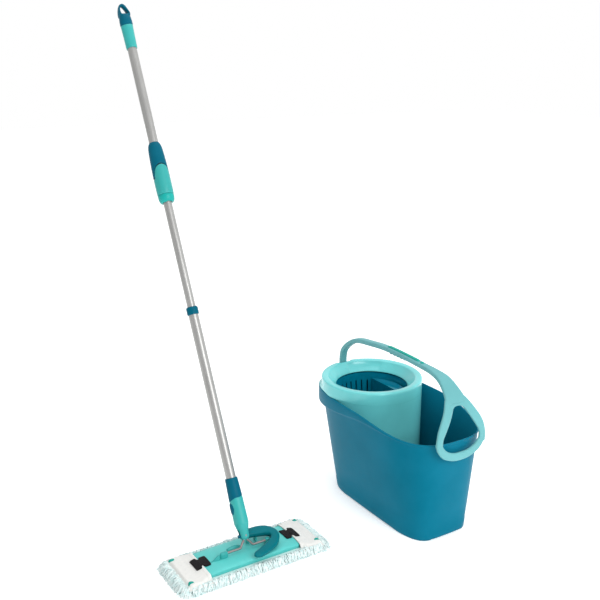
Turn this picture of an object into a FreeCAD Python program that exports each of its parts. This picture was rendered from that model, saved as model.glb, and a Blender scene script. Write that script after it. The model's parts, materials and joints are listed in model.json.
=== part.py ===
import FreeCAD, Part
import math
import os
import Sketcher
from FreeCAD import Placement, Rotation, Vector

# A flat spin mop leaning back on its pad, beside the bucket that spins it dry.
# Row X runs along the mop plate and across the bucket, row Y from the bucket's
# pouring end (front) to its spin end (rear), and Z is up from the floor.

DIMENSIONS = {
    # places of the two halves of the set on the floor
    "bucket_x": 247.4, "bucket_y": -147.25, "mop_x": -193.6, "mop_y": -184.25,
    # bucket
    "base_half_long": 182.4, "base_half_wide": 89.7, "base_squareness": 4.3, "base_shift": -24.2,
    "rim_half_long": 230.5, "rim_half_wide": 131.2, "rim_squareness": 2.9,
    "wall_top_half_long": 224.9, "wall_top_half_wide": 129.5, "wall_top_shift": -7.4,
    "rim_rear_top": 270.6, "rim_front_top": 251.7, "rim_drop_start": -3.0, "rim_drop_end": -197.5,
    "tub_wall": 2.5, "floor_under": 6.0, "floor_thick": 3.0, "flange_thick": 3.0,
    "collar_deep": 40.0, "collar_end_y": -15.0, "foot_notch": 2.0,
    # spin unit
    "spin_y": 95.2, "ring_radius": 126.7, "ring_top": 303.5, "ring_lip": 17.0, "mouth_radius": 90.0,
    "mouth_top": 281.5, "housing_wall": 2.4, "deck_bottom": 271.2, "curtain_bottom": 70.0,
    "basket_top": 277.0, "basket_top_radius": 94.5, "basket_floor": 160.0, "basket_floor_radius": 80.0,
    "basket_wall": 2.2, "slot_wide": 4.0, "slot_count": 36, "hub_radius": 13.0, "hub_bottom": 146.0,
    "hub_top": 178.0, "pin_radius": 3.0, "bush_radius": 6.5, "run_gap": 0.05,
    "guide_offset": 52.0, "guide_top": 262.0, "guide_deep": 46.0, "post_radius": 9.0, "post_top": 142.0,
    "post_flange": 32.0,
    # carrying handle
    "hinge_y": 223.0, "hinge_z": 283.0, "strap_wide": 18.0, "strap_thick": 12.0, "strap_top": 398.5,
    "handle_pin_radius": 3.0, "loop_thick": 8.0,
    # mop head
    "pad_long": 370.0, "pad_wide": 150.0, "pad_thick": 12.0, "plate_long": 330.0, "plate_wide": 94.0,
    "plate_tongue_thick": 6.0, "plate_mid_long": 226.0, "plate_top": 28.0, "pocket_cloth": 1.4,
    "lever_y": 11.0, "lever_z": 48.0, "lever_thick": 6.0,
    "pocket_wide": 134.0, "pocket_reach": 53.5, "clip_centre": 113.0,
    # universal joint
    "yoke_y": -12.0, "yoke_z": 36.0, "wire_radius": 2.5, "crank": 25.0, "crank_half": 16.0,
    "joint_x": -4.0, "lean": 26.5, "fork_gap": 8.4, "hub_barrel": 8.5,
    # pole stations, measured along the pole from the fork pin
    "socket_top": 85.0, "socket_radius": 16.5, "collar_top": 128.0, "collar_radius": 14.0,
    "collar_low_radius": 15.7,
    "lower_tube_bottom": 88.0, "lower_tube_top": 515.0, "lower_tube_radius": 11.5, "tube_wall": 0.8,
    "stop_station": 476.0, "ring_bottom": 505.5, "ring_station_top": 524.0, "ring_outer": 13.6,
    "mid_tube_bottom": 395.0, "mid_tube_top": 950.0, "mid_tube_radius": 9.75,
    "grip_bottom": 778.5, "end_ring_top": 799.0, "grip_seam": 836.0, "grip_top": 929.0, "grip_radius": 19.6,
    "upper_tube_bottom": 842.0, "upper_tube_top": 1215.0, "upper_tube_radius": 11.0,
    "sleeve_bottom": 1161.0, "sleeve_top": 1223.0, "cap_top": 1275.0, "cap_radius": 15.0,
    # spin drive in the pole
    "nut_station": 207.5, "nut_long": 15.0, "strip_wide": 9.0, "strip_thick": 2.4, "strip_lead": 120.0,
    "strip_bottom": 197.5,
    # socket button
    "button_station": 62.0, "button_radius": 5.6,
}

doc = FreeCAD.newDocument("SpinMop")
sheet = doc.addObject("Spreadsheet::Sheet", "Dimensions")
sub_parts = []


class Length:
    """A size that keeps its value and the sheet expression that gives it."""

    def __init__(self, value, text=None):
        self.value = float(value)
        self.text = text or repr(float(value))

    def joined(self, other, sign, value):
        return Length(value, "(%s %s %s)" % (self.text, sign, other.text))

    def __add__(self, other):
        other = as_length(other)
        return self.joined(other, "+", self.value + other.value)

    def __sub__(self, other):
        other = as_length(other)
        return self.joined(other, "-", self.value - other.value)

    def __mul__(self, other):
        other = as_length(other)
        return self.joined(other, "*", self.value * other.value)

    def __truediv__(self, other):
        other = as_length(other)
        return self.joined(other, "/", self.value / other.value)

    def __neg__(self):
        return Length(0) - self


def as_length(value):
    return value if isinstance(value, Length) else Length(value)


class Sizes:
    """Every alias of the sheet as an attribute that carries its expression."""


size = Sizes()
for row, (alias, value) in enumerate(DIMENSIONS.items(), start=1):
    sheet.set("A%d" % row, alias)
    sheet.set("B%d" % row, str(value))
    sheet.setAlias("B%d" % row, alias)
    setattr(size, alias, Length(value, "Dimensions." + alias))
doc.recompute()


def cell(alias):
    """The plain number in one cell of the sheet."""
    return float(sheet.get(alias))


# ---------------------------------------------------------------- building helpers

def bind(item, prop, value):
    item.setExpression(prop, as_length(value).text)


def put(item, x, y, z):
    bind(item, "Placement.Base.x", x)
    bind(item, "Placement.Base.y", y)
    bind(item, "Placement.Base.z", z)
    return item


TURNS = {"z": Rotation(), "x": Rotation(Vector(0, 1, 0), 90), "y": Rotation(Vector(1, 0, 0), -90)}


def cylinder(name, radius, long, x=0, y=0, z=0, axis="z"):
    item = doc.addObject("Part::Cylinder", name)
    item.Placement = Placement(Vector(), TURNS[axis])
    bind(item, "Radius", radius)
    bind(item, "Height", long)
    return put(item, x, y, z)


def box(name, long_x, long_y, long_z, x, y, z):
    """A box centred on x and y that stands on z."""
    item = doc.addObject("Part::Box", name)
    bind(item, "Length", long_x)
    bind(item, "Width", long_y)
    bind(item, "Height", long_z)
    half_x = as_length(long_x) / 2
    half_y = as_length(long_y) / 2
    return put(item, as_length(x) - half_x, as_length(y) - half_y, z)


def fuse(name, *items):
    item = doc.addObject("Part::MultiFuse", name)
    item.Shapes = list(items)
    return item


def compound(name, *items):
    item = doc.addObject("Part::Compound", name)
    item.Links = list(items)
    return item


def cut(name, base, *tools):
    item = doc.addObject("Part::Cut", name)
    item.Base = base
    item.Tool = tools[0] if len(tools) == 1 else fuse(name + "Tools", *tools)
    return item


def feature(name, shape):
    """A shape made with Part's own functions, where no primitive or body fits."""
    item = doc.addObject("Part::Feature", name)
    item.Shape = shape
    return item


def origin_plane(body, role):
    return [part for part in body.Origin.OriginFeatures if part.Role == role][0]


def bound_sketch(body, name, role, corners):
    """A closed outline of straight lines whose corners are tied to the sheet."""
    sketch = body.newObject("Sketcher::SketchObject", name)
    sketch.AttachmentSupport = [(origin_plane(body, role), "")]
    sketch.MapMode = "FlatFace"
    corners = [(as_length(across), as_length(along)) for across, along in corners]
    count = len(corners)
    points = [Vector(across.value, along.value, 0) for across, along in corners]
    for index in range(count):
        sketch.addGeometry(Part.LineSegment(points[index], points[(index + 1) % count]), False)
    for index in range(count):
        sketch.addConstraint(Sketcher.Constraint("Coincident", index, 2, (index + 1) % count, 1))
    for index, (across, along) in enumerate(corners):
        tie_corner(sketch, "DistanceX", -2, index, across)
        tie_corner(sketch, "DistanceY", -1, index, along)
    return sketch


def tie_corner(sketch, kind, axis, index, distance):
    """Hold one corner on an axis, or at a sheet distance from the origin."""
    if distance.value == 0:
        sketch.addConstraint(Sketcher.Constraint("PointOnObject", index, 1, axis))
        return
    number = sketch.addConstraint(Sketcher.Constraint(kind, -1, 1, index, 1, distance.value))
    sketch.setExpression("Constraints[%d]" % number, distance.text)


def turned(name, corners):
    """A body of revolution about Z from (radius, height) corners."""
    body = doc.addObject("PartDesign::Body", name)
    sketch = bound_sketch(body, name + "Profile", "XZ_Plane", corners)
    revolution = body.newObject("PartDesign::Revolution", name + "Turn")
    revolution.Profile = sketch
    revolution.ReferenceAxis = (sketch, ["V_Axis"])
    revolution.Angle = 360
    sketch.Visibility = False
    return body


def ring(name, outer, inner, low, high):
    return turned(name, [(inner, low), (outer, low), (outer, high), (inner, high)])


def slab(name, long_x, long_y, low, thick, corner):
    """A flat plate with rounded upright corners, centred on Z."""
    body = doc.addObject("PartDesign::Body", name)
    half_x = as_length(long_x) / 2
    half_y = as_length(long_y) / 2
    outline = [(-half_x, -half_y), (half_x, -half_y), (half_x, half_y), (-half_x, half_y)]
    sketch = bound_sketch(body, name + "Outline", "XY_Plane", outline)
    pad = body.newObject("PartDesign::Pad", name + "Pad")
    pad.Profile = sketch
    bind(pad, "Length", thick)
    bind(sketch, "AttachmentOffset.Base.z", low)
    doc.recompute()
    upright = [
        "Edge%d" % (number + 1) for number, edge in enumerate(pad.Shape.Edges)
        if abs(edge.tangentAt(edge.FirstParameter).z) > 0.9
    ]
    fillet = body.newObject("PartDesign::Fillet", name + "Round")
    fillet.Base = (pad, upright)
    bind(fillet, "Radius", corner)
    body.Tip = fillet
    return body


def keep(node, item, placement):
    """Name a finished sub-part and put it in the row's frame."""
    if item.TypeId == "Part::Cylinder":
        item = compound(item.Name + "Part", item)
    item.Label = node
    item.Placement = placement.multiply(item.Placement)
    sub_parts.append((node, item))


def prism_between(lower, upper, along, start, end):
    """The closed region between two lines of points, pushed from start to end."""
    outline = lower + upper[::-1]
    face = Part.Face(Part.makePolygon(outline + [outline[0]]))
    face.translate(along * start)
    return face.extrude(along * (end - start))


def superellipse(half_x, half_y, squareness, shift_y, height):
    """A closed smooth outline, rounder for a low squareness and boxier for a high one."""
    steps = 48
    points = []
    for step in range(steps):
        angle = 2 * math.pi * (step + 0.5) / steps
        cosine, sine = math.cos(angle), math.sin(angle)
        reach = (abs(cosine) ** squareness + abs(sine) ** squareness) ** (-1 / squareness)
        points.append(Vector(half_x * reach * cosine, half_y * reach * sine + shift_y, height))
    curve = Part.BSplineCurve()
    curve.interpolate(Points=points, PeriodicFlag=True)
    return Part.Wire(curve.toShape())


def rounded_path(points, radii):
    """Straight runs joined by tangent arcs, one radius for each inner point."""
    edges = []
    start = points[0]
    for before, corner, after, radius in zip(points, points[1:], points[2:], radii):
        arriving = (before - corner).normalize()
        leaving = (after - corner).normalize()
        half_angle = arriving.getAngle(leaving) / 2
        reach = radius / math.tan(half_angle)
        middle = corner + (arriving + leaving).normalize() * (radius / math.sin(half_angle) - radius)
        edges.append(Part.LineSegment(start, corner + arriving * reach).toShape())
        edges.append(Part.Arc(corner + arriving * reach, middle, corner + leaving * reach).toShape())
        start = corner + leaving * reach
    edges.append(Part.LineSegment(start, points[-1]).toShape())
    return Part.Wire(edges)


def rod_along(path, radius):
    first = path.Edges[0]
    start = first.valueAt(first.FirstParameter)
    circle = Part.Circle(start, first.tangentAt(first.FirstParameter), radius)
    return path.makePipeShell([Part.Wire(circle.toShape())], True, True)


# ---------------------------------------------------------------- frames of the two halves

bucket_frame = Placement(Vector(cell("bucket_x"), cell("bucket_y"), 0), Rotation())
spin_frame = Placement(Vector(cell("bucket_x"), cell("bucket_y") + cell("spin_y"), 0), Rotation())
mop_frame = Placement(Vector(cell("mop_x"), cell("mop_y"), 0), Rotation())
pole_turn = Rotation(Vector(1, 0, 0), -cell("lean"))
yoke_centre = Vector(cell("mop_x") + cell("joint_x"), cell("mop_y") + cell("yoke_y"), cell("yoke_z"))
yoke_frame = Placement(yoke_centre, pole_turn)
pole_frame = Placement(yoke_centre + pole_turn.multVec(Vector(0, 0, cell("crank"))), pole_turn)


# ---------------------------------------------------------------- bucket

def rim_line(offset):
    """The rim's height along Y: level at the rear, easing down to the pouring end."""
    start, end = cell("rim_drop_start"), cell("rim_drop_end")
    drop = cell("rim_rear_top") - cell("rim_front_top")
    edge = cell("rim_half_long") + 30
    ease_steps = 10
    line = [(edge, 0.0)]
    for step in range(ease_steps + 1):
        part = step / ease_steps
        line.append((start + (end - start) * part, drop * part * part * (3 - 2 * part)))
    line.append((-edge, drop))
    top = cell("rim_rear_top") + offset
    return [Vector(0, y, top - fall) for y, fall in line]


def collar_line():
    """The lower edge of the rear collar, rising until it meets the rim near the middle."""
    edge = cell("rim_half_long") + 30
    end = cell("collar_end_y")
    low = cell("rim_rear_top") - cell("collar_deep")
    high = cell("rim_rear_top") - cell("flange_thick")
    rise_steps = 8
    line = [Vector(0, edge, low)]
    for step in range(rise_steps + 1):
        part = step / rise_steps
        line.append(Vector(0, 190 + (end - 190) * part, low + (high - low) * part ** 2.2))
    return line


def between_outlines(low_half, high_half, squareness, shifts, inset, low, high):
    """A tapered solid between two outlines, drawn in by inset all round."""
    low_wire = superellipse(low_half[0] - inset, low_half[1] - inset, squareness[0], shifts[0], low)
    high_wire = superellipse(high_half[0] - inset, high_half[1] - inset, squareness[1], shifts[1], high)
    return Part.makeLoft([low_wire, high_wire], True, True)


def wall_solid(inset, low):
    """The bucket's tapered wall as a solid, from the floor to the rear rim."""
    base = (cell("base_half_wide"), cell("base_half_long"))
    top = (cell("wall_top_half_wide"), cell("wall_top_half_long"))
    squareness = (cell("base_squareness"), cell("rim_squareness"))
    shifts = (cell("base_shift"), cell("wall_top_shift"))
    whole = between_outlines(base, top, squareness, shifts, inset, 0, cell("rim_rear_top"))
    if low <= 0:
        return whole
    below = Part.makeBox(600, 700, low, Vector(-300, -350, 0))
    return whole.cut(below)


def mouth_prism(inset, low, high):
    """An upright solid over the bucket's mouth, drawn in from the wall's top by inset."""
    outline = superellipse(
        cell("wall_top_half_wide") - inset, cell("wall_top_half_long") - inset,
        cell("rim_squareness"), cell("wall_top_shift"), low)
    return Part.Face(outline).extrude(Vector(0, 0, high - low))


def make_bucket():
    """Tapered tub with a rolled rim flange, a deep rear collar and moulded feet."""
    across = Vector(1, 0, 0)
    reach = cell("rim_half_wide") + 30
    rim = rim_line(0)
    floor_line = [Vector(0, rim[0].y, -1), Vector(0, rim[-1].y, -1)]
    under_rim = prism_between(floor_line, rim, across, -reach, reach)
    flange = prism_between(rim_line(-cell("flange_thick")), rim, across, -reach, reach)
    collar = prism_between(collar_line(), rim_line(0)[:3], across, -reach, reach)
    outline = superellipse(cell("rim_half_wide"), cell("rim_half_long"), cell("rim_squareness"), 0, 150)
    outer = Part.Face(outline).extrude(Vector(0, 0, 140))
    skin = cell("tub_wall")
    inner_outline = superellipse(
        cell("rim_half_wide") - skin, cell("rim_half_long") - skin, cell("rim_squareness"), 0, 149)
    inner = Part.Face(inner_outline).extrude(Vector(0, 0, 142))
    tub = wall_solid(0, 0).common(under_rim)
    tub = tub.fuse(outer.cut(inner).common(collar))
    tub = tub.fuse(outer.common(flange))
    inside = wall_solid(skin, cell("floor_under") + cell("floor_thick"))
    top = cell("rim_rear_top")
    tub = tub.cut(inside.fuse(mouth_prism(skin, top, top + 20)))
    under_floor = wall_solid(6, 0).common(Part.makeBox(600, 700, cell("floor_under"), Vector(-300, -350, 0)))
    notch = cell("foot_notch")
    long_notch = Part.makeBox(400, 195, notch, Vector(-200, -120, 0))
    short_notch = Part.makeBox(90, 600, notch, Vector(-45, -300, 0))
    tub = tub.cut(under_floor).cut(long_notch).cut(short_notch)
    for side in (-1, 1):
        ear = Part.makeBox(5, 12, 20, Vector(side * 12.5 - 2.5, cell("hinge_y") - 5, 268))
        crown = Part.makeCylinder(6, 5, Vector(side * 12.5 - 2.5, cell("hinge_y") + 1, 288), across)
        hole = Part.makeCylinder(
            cell("handle_pin_radius") + 0.02, 30, Vector(-15, cell("hinge_y"), cell("hinge_z")), across)
        tub = tub.fuse(ear.fuse(crown).cut(hole))
        tub = tub.cut(hole)
    return tub.removeSplitter()


keep("bucket_tub", feature("BucketTub", make_bucket()), bucket_frame)

post_floor = size.floor_under + size.floor_thick
keep("pivot_post", turned("PivotPost", [
    (0, post_floor), (size.post_flange, post_floor), (size.post_flange, post_floor + 3),
    (size.post_radius + 5, post_floor + 5), (size.post_radius, post_floor + 30),
    (size.post_radius, size.post_top), (size.pin_radius, size.post_top),
    (size.pin_radius, size.post_top - 25), (0, size.post_top - 25)]), spin_frame)

keep("pivot_pin", turned("PivotPin", [
    (0, size.post_top - 25), (size.pin_radius, size.post_top - 25), (size.pin_radius, size.hub_top - 8),
    (size.pin_radius * 0.5, size.hub_top - 6), (0, size.hub_top - 6)]), spin_frame)


# ---------------------------------------------------------------- spin unit

def make_housing():
    """Drop-in spin housing: funnel ring, deck over the rear rim and a curtain wall."""
    skin = cell("housing_wall")
    ring_radius, top, deck = cell("ring_radius"), cell("ring_top"), cell("deck_bottom")
    lip, mouth, mouth_top = cell("ring_lip"), cell("mouth_radius"), cell("mouth_top")
    profile = [
        (ring_radius, deck), (ring_radius, top - 3), (ring_radius - 2.5, top), (ring_radius - lip, top),
        (ring_radius - lip - 3, top - 2.5), (mouth, mouth_top), (mouth, mouth_top - 2.5),
        (mouth + 2.6, mouth_top - 2.5), (ring_radius - lip - 2, top - 6), (ring_radius - skin, top - 6),
        (ring_radius - skin, deck)]
    spin_y = cell("spin_y")
    points = [Vector(radius, 0, height) for radius, height in profile]
    face = Part.Face(Part.makePolygon(points + [points[0]]))
    ring_shape = face.revolve(Vector(), Vector(0, 0, 1), 360)
    ring_shape.translate(Vector(0, spin_y, 0))
    outline = superellipse(
        cell("rim_half_wide") - 1, cell("rim_half_long") - 1, cell("rim_squareness"), 0, deck)
    deck_shape = Part.Face(outline).extrude(Vector(0, 0, skin))
    deck_shape = deck_shape.cut(Part.makeCylinder(ring_radius - skin, 10, Vector(0, spin_y, deck - 3)))
    behind = Part.makeBox(400, 300, 10, Vector(-200, spin_y, deck - 3))
    deck_shape = deck_shape.common(behind)
    low = cell("curtain_bottom")
    hollow = wall_solid(cell("tub_wall") + 1.2, low).fuse(
        mouth_prism(cell("tub_wall") + 1.2, deck - 5, deck + 5))
    tube = Part.makeCylinder(ring_radius, deck - low + 1, Vector(0, spin_y, low))
    bore = Part.makeCylinder(ring_radius - skin, deck - low + 10, Vector(0, spin_y, low - 5))
    curtain = tube.cut(bore).common(hollow)
    front = Part.makeBox(400, 200, 300, Vector(-200, spin_y - 200, 0))
    curtain = curtain.common(front)
    housing = ring_shape.fuse(deck_shape).fuse(curtain)
    leg_room = Part.makeBox(30, 30, 60, Vector(-15, cell("hinge_y") - 8, 275))
    ear_room = Part.makeBox(32, 30, 60, Vector(-16, cell("hinge_y") - 6.5, 265))
    return housing.cut(leg_room).cut(ear_room).removeSplitter()


keep("spin_housing", feature("SpinHousing", make_housing()), bucket_frame)

basket_profile = [
    (size.hub_radius, size.basket_floor), (size.basket_floor_radius, size.basket_floor),
    (size.basket_top_radius, size.basket_top - 4), (size.basket_top_radius + 6, size.basket_top - 4),
    (size.basket_top_radius + 6, size.basket_top - 1.5),
    (size.basket_top_radius - size.basket_wall, size.basket_top - 1.5),
    (size.basket_floor_radius - size.basket_wall, size.basket_floor + 3),
    (size.hub_radius, size.basket_floor + 3),
    (size.hub_radius, size.hub_top), (size.bush_radius, size.hub_top), (size.bush_radius, size.hub_bottom),
    (size.hub_radius, size.hub_bottom)]
basket = turned("SpinBasket", basket_profile)
slot_sketch = bound_sketch(basket, "SlotOutline", "XZ_Plane", [
    (-size.slot_wide / 2, 184), (size.slot_wide / 2, 184), (size.slot_wide / 2, 256),
    (-size.slot_wide / 2, 256)])
slot_cut = basket.newObject("PartDesign::Pocket", "SlotCut")
slot_cut.Profile = slot_sketch
slot_cut.Length = 130
doc.recompute()
slots = basket.newObject("PartDesign::PolarPattern", "SlotRing")
slots.Originals = [slot_cut]
slots.Axis = (slot_sketch, ["V_Axis"])
slots.Angle = 360
slots.Occurrences = int(cell("slot_count"))
basket.Tip = slots
keep("spin_basket", basket, spin_frame)

keep("basket_bush", turned("BasketBush", [
    (size.pin_radius + size.run_gap, size.hub_bottom), (size.bush_radius, size.hub_bottom),
    (size.bush_radius, size.hub_top), (size.pin_radius + size.run_gap, size.hub_top)]), spin_frame)


def make_guides():
    """Two hollow shelves inside the basket that leave a channel for the mop plate."""
    low = cell("guide_top") - cell("guide_deep")
    slope = (cell("basket_top_radius") - cell("basket_floor_radius")) / (cell("basket_top") - cell("basket_floor"))
    reach = cell("basket_floor_radius") + (low - cell("basket_floor")) * slope - cell("basket_wall") - 0.2
    shelves = []
    for side in (-1, 1):
        block = Part.makeCylinder(reach, cell("guide_deep"), Vector(0, 0, low))
        block = block.common(Part.makeBox(200, 200, 200, Vector(
            cell("guide_offset") if side > 0 else -cell("guide_offset") - 200, -100, 150)))
        hollow = Part.makeCylinder(reach - 2, cell("guide_deep") - 2, Vector(0, 0, low - 0.1))
        hollow = hollow.common(Part.makeBox(200, 200, 200, Vector(
            cell("guide_offset") + 2 if side > 0 else -cell("guide_offset") - 202, -100, 150)))
        shelves.append(block.cut(hollow))
    return Part.makeCompound(shelves)


keep("basket_guides", feature("BasketGuides", make_guides()), spin_frame)


# ---------------------------------------------------------------- carrying handle

def handle_side():
    """Centre line of the handle seen from the side, from the hinge to the pouring loop."""
    top = cell("strap_top") - cell("strap_thick") / 2
    hinge_y = cell("hinge_y")
    return rounded_path([
        Vector(0, hinge_y, cell("hinge_z") + 7), Vector(0, hinge_y - 3, 330), Vector(0, 165, top - 12.5),
        Vector(0, 20, top + 1.5), Vector(0, -165, top - 4.5), Vector(0, -224, 320), Vector(0, -241, 200)],
        [45, 55, 400, 62, 90])


def band_along(path, thick, half_wide):
    """A flat band of constant thickness that follows a side-view line, full width in X."""
    first = path.Edges[0]
    start = first.valueAt(first.FirstParameter)
    along = first.tangentAt(first.FirstParameter)
    normal = Vector(1, 0, 0).cross(along).normalize()
    half = thick / 2
    corners = [
        start + Vector(-half_wide, 0, 0) - normal * half, start + Vector(half_wide, 0, 0) - normal * half,
        start + Vector(half_wide, 0, 0) + normal * half, start + Vector(-half_wide, 0, 0) + normal * half]
    return path.makePipeShell([Part.makePolygon(corners + [corners[0]])], True, True)


def strap_plan():
    """Plan outline of the strap: even width, then flaring towards the pouring end."""
    half = cell("strap_wide") / 2
    flare = [(-95, half), (-150, half + 3), (-190, half + 11), (-212, half + 19)]
    edge = [Vector(half, cell("hinge_y") + 20, 0)] + [Vector(wide, y, 0) for y, wide in flare]
    mirrored = [Vector(-point.x, point.y, 0) for point in reversed(edge)]
    face = Part.Face(Part.makePolygon(edge + mirrored + [edge[0]]))
    face.translate(Vector(0, 0, 200))
    return face.extrude(Vector(0, 0, 250))


def loop_front():
    """Front outline of the pouring loop, a rounded triangle with an open window."""
    outer = rounded_path([
        Vector(0, 0, 368), Vector(28, 0, 350), Vector(78, 0, 266), Vector(68, 0, 224), Vector(36, 0, 206),
        Vector(0, 0, 206)], [12, 40, 38, 58])
    inner = rounded_path([
        Vector(0, 0, 330), Vector(8, 0, 330), Vector(59, 0, 252), Vector(34, 0, 229), Vector(0, 0, 226)],
        [6, 14, 40])
    return closed_face(outer).cut(closed_face(inner))


def closed_face(half_outline):
    """A face from one half of an outline and its mirror image across the YZ plane."""
    other = half_outline.mirror(Vector(), Vector(1, 0, 0))
    edges = half_outline.Edges + other.Edges
    return Part.Face(Part.Wire(Part.__sortEdges__(edges)))


def make_handle():
    path = handle_side()
    strap = band_along(path, cell("strap_thick"), 100).common(strap_plan())
    strap = strap.cut(Part.makeBox(300, 40, 360, Vector(-150, -260, 0)).cut(
        Part.makeBox(300, 48, 400, Vector(-150, -212, 0))))
    strap = strap.common(Part.makeBox(300, 500, 300, Vector(-150, -210, 200)))
    window = loop_front()
    window.translate(Vector(0, -300, 0))
    loop = band_along(path, cell("loop_thick"), 100).common(window.extrude(Vector(0, 180, 0)))
    loop = loop.common(Part.makeBox(300, 200, 400, Vector(-150, -320, 0)))
    knuckle = Part.makeCylinder(7, cell("strap_wide"),
        Vector(-cell("strap_wide") / 2, cell("hinge_y"), cell("hinge_z")),
                                Vector(1, 0, 0))
    hole = Part.makeCylinder(cell("handle_pin_radius") + cell("run_gap"), 60,
                             Vector(-30, cell("hinge_y"), cell("hinge_z")), Vector(1, 0, 0))
    return strap.fuse(loop).fuse(knuckle).cut(hole).removeSplitter()


keep("carry_handle", feature("CarryHandle", make_handle()), bucket_frame)

keep("handle_hinge_pin", cylinder("HandlePin", size.handle_pin_radius, 31, -15.5, size.hinge_y,
    size.hinge_z, "x"),
     bucket_frame)

strip_path = handle_side()


def make_grip_strip():
    """Soft strip let into the top of the strap, ending in a small round stud."""
    proud = band_along(strip_path, cell("strap_thick") + 5, 5.5)
    bar = proud.common(Part.makeBox(20, 118, 60, Vector(-10, -88, cell("strap_top") - 10)))
    bar = bar.cut(make_handle_block())
    stud = Part.makeCylinder(4.5, 12, Vector(0, -98, cell("strap_top") - 10)).cut(make_handle_block())
    return Part.makeCompound(bar.Solids + stud.Solids)


def make_handle_block():
    return band_along(strip_path, cell("strap_thick"), 40)


keep("handle_grip_strip", feature("HandleGripStrip", make_grip_strip()), bucket_frame)


# ---------------------------------------------------------------- mop head

plate_low = size.pad_thick + 0.4
tongue_top = plate_low + size.plate_tongue_thick

keep("mop_pad", slab("MopPad", size.pad_long - 26, size.pad_wide - 26, 0, size.pad_thick, 6), mop_frame)

fringe_outer = slab("FringeOuter", size.pad_long, size.pad_wide, 0, size.pad_thick, 14)
fringe_inner = slab("FringeInner", size.pad_long - 25.6, size.pad_wide - 25.6, -5, size.pad_thick + 15, 6)
keep("pad_fringe", cut("PadFringe", fringe_outer, fringe_inner), mop_frame)


shanks = []
screws = []
for index, x in enumerate((-69, -53, 45.5, 52.5)):
    shanks.append(cylinder("ScrewShank%d" % index, 1.6, 18, x, size.yoke_y, size.pad_thick + 2))
    screw_head = cylinder("ScrewHead%d" % index, 3, 2, x, size.yoke_y, size.pad_thick + 0.4)
    screws.append(fuse("SaddleScrew%d" % index, shanks[index], screw_head))
screw_shanks = fuse("ScrewShanks", *shanks)


def make_plate():
    """Plate with thin end tongues, a raised middle and a recess under each strap."""
    tongue = slab("PlateTongue", size.plate_long, size.plate_wide, plate_low, size.plate_tongue_thick, 12)
    middle = slab("PlateMiddle", size.plate_mid_long, size.plate_wide, plate_low,
        size.plate_top - plate_low, 5)
    recesses = []
    for side in (-1, 1):
        recesses.append(box("StrapRecess%d" % (side + 1), 30, 52, 20, size.clip_centre * side, 0,
            tongue_top))
    return cut("MopPlate", fuse("PlateBlank", tongue, middle), *(recesses + screws))


keep("mop_plate", make_plate(), mop_frame)


def make_pockets():
    """Two open-mouthed cloth pockets that hold the ends of the plate."""
    cloth = size.pocket_cloth
    pockets = []
    for side in (-1, 1):
        centre = size.plate_long / 2 + cloth + 1 - size.pocket_reach / 2
        name = "Left" if side < 0 else "Right"
        sleeve = box(name + "Sleeve", size.pocket_reach, size.pocket_wide,
            size.plate_tongue_thick + cloth + 1,
                     centre * side, 0, size.pad_thick)
        inside = box(name + "Inside", size.pocket_reach, size.plate_wide + 2, size.plate_tongue_thick + 0.8,
                     centre * side - cloth * side, 0, size.pad_thick)
        pockets.append(cut(name + "Pocket", sleeve, inside))
    return compound("PadPockets", *pockets)


keep("pad_pockets", make_pockets(), mop_frame)


def make_clips():
    """Hourglass rubber straps that tie each pocket's mouth to the plate."""
    clips = []
    for side in (-1, 1):
        name = "Left" if side < 0 else "Right"
        strap = box(name + "Strap", 28, 48, 2.6, size.clip_centre * side, 0, tongue_top + 2.1)
        waists = []
        for edge in (-1, 1):
            waist = cylinder("%sWaist%d" % (name, edge + 1), 13, 10, (size.clip_centre + edge * 22) * side,
                0,
                             tongue_top)
            waists.append(waist)
        clips.append(cut(name + "Clip", strap, *waists))
    return compound("PadClips", *clips)


keep("pad_clips", make_clips(), mop_frame)


def make_saddles():
    """Two blocks on the plate that hold the ends of the wire yoke."""
    saddles = []
    for name, low, high, bore_from in (("Left", -74, -48, -66.3), ("Right", 42, 56, 24.3)):
        block = box(name + "Block", high - low, 10, size.yoke_z - size.plate_top, (low + high) / 2,
            size.yoke_y,
                    size.plate_top)
        crown = cylinder(name + "Crown", 5, high - low, low, size.yoke_y, size.yoke_z, "x")
        bore = cylinder(name + "Bore", size.wire_radius + size.run_gap, 26, bore_from, size.yoke_y,
            size.yoke_z, "x")
        saddles.append(cut(name + "Saddle", fuse(name + "Body", block, crown), bore, screw_shanks))
    return compound("YokeSaddles", *saddles)


keep("yoke_saddles", make_saddles(), mop_frame)
keep("saddle_screws", compound("SaddleScrews", *screws), mop_frame)


def make_lever_lugs():
    """Two small ears on the plate that carry the hook lever's pin."""
    ears = []
    for index, x in enumerate((9.5, 29.5)):
        ear = box("LeverEar%d" % index, 3, 11, size.lever_z - size.plate_top, x, size.lever_y,
            size.plate_top)
        crown = cylinder("LeverEarCrown%d" % index, 5.5, 3, as_length(x) - 1.5, size.lever_y, size.lever_z,
            "x")
        ears.append(fuse("LeverEarBody%d" % index, ear, crown))
    hole = cylinder("LeverEarHole", 2, 40, 0, size.lever_y, size.lever_z, "x")
    return cut("LeverLugs", fuse("LeverEars", *ears), hole)


keep("lever_lugs", make_lever_lugs(), mop_frame)
keep("lever_pin", cylinder("LeverPin", 2, 25, 7, size.lever_y, size.lever_z, "x"), mop_frame)


def smooth_edge(points):
    curve = Part.BSplineCurve()
    curve.interpolate(Points=[Vector(x, y, 0) for x, y in points])
    return curve.toShape()


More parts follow.
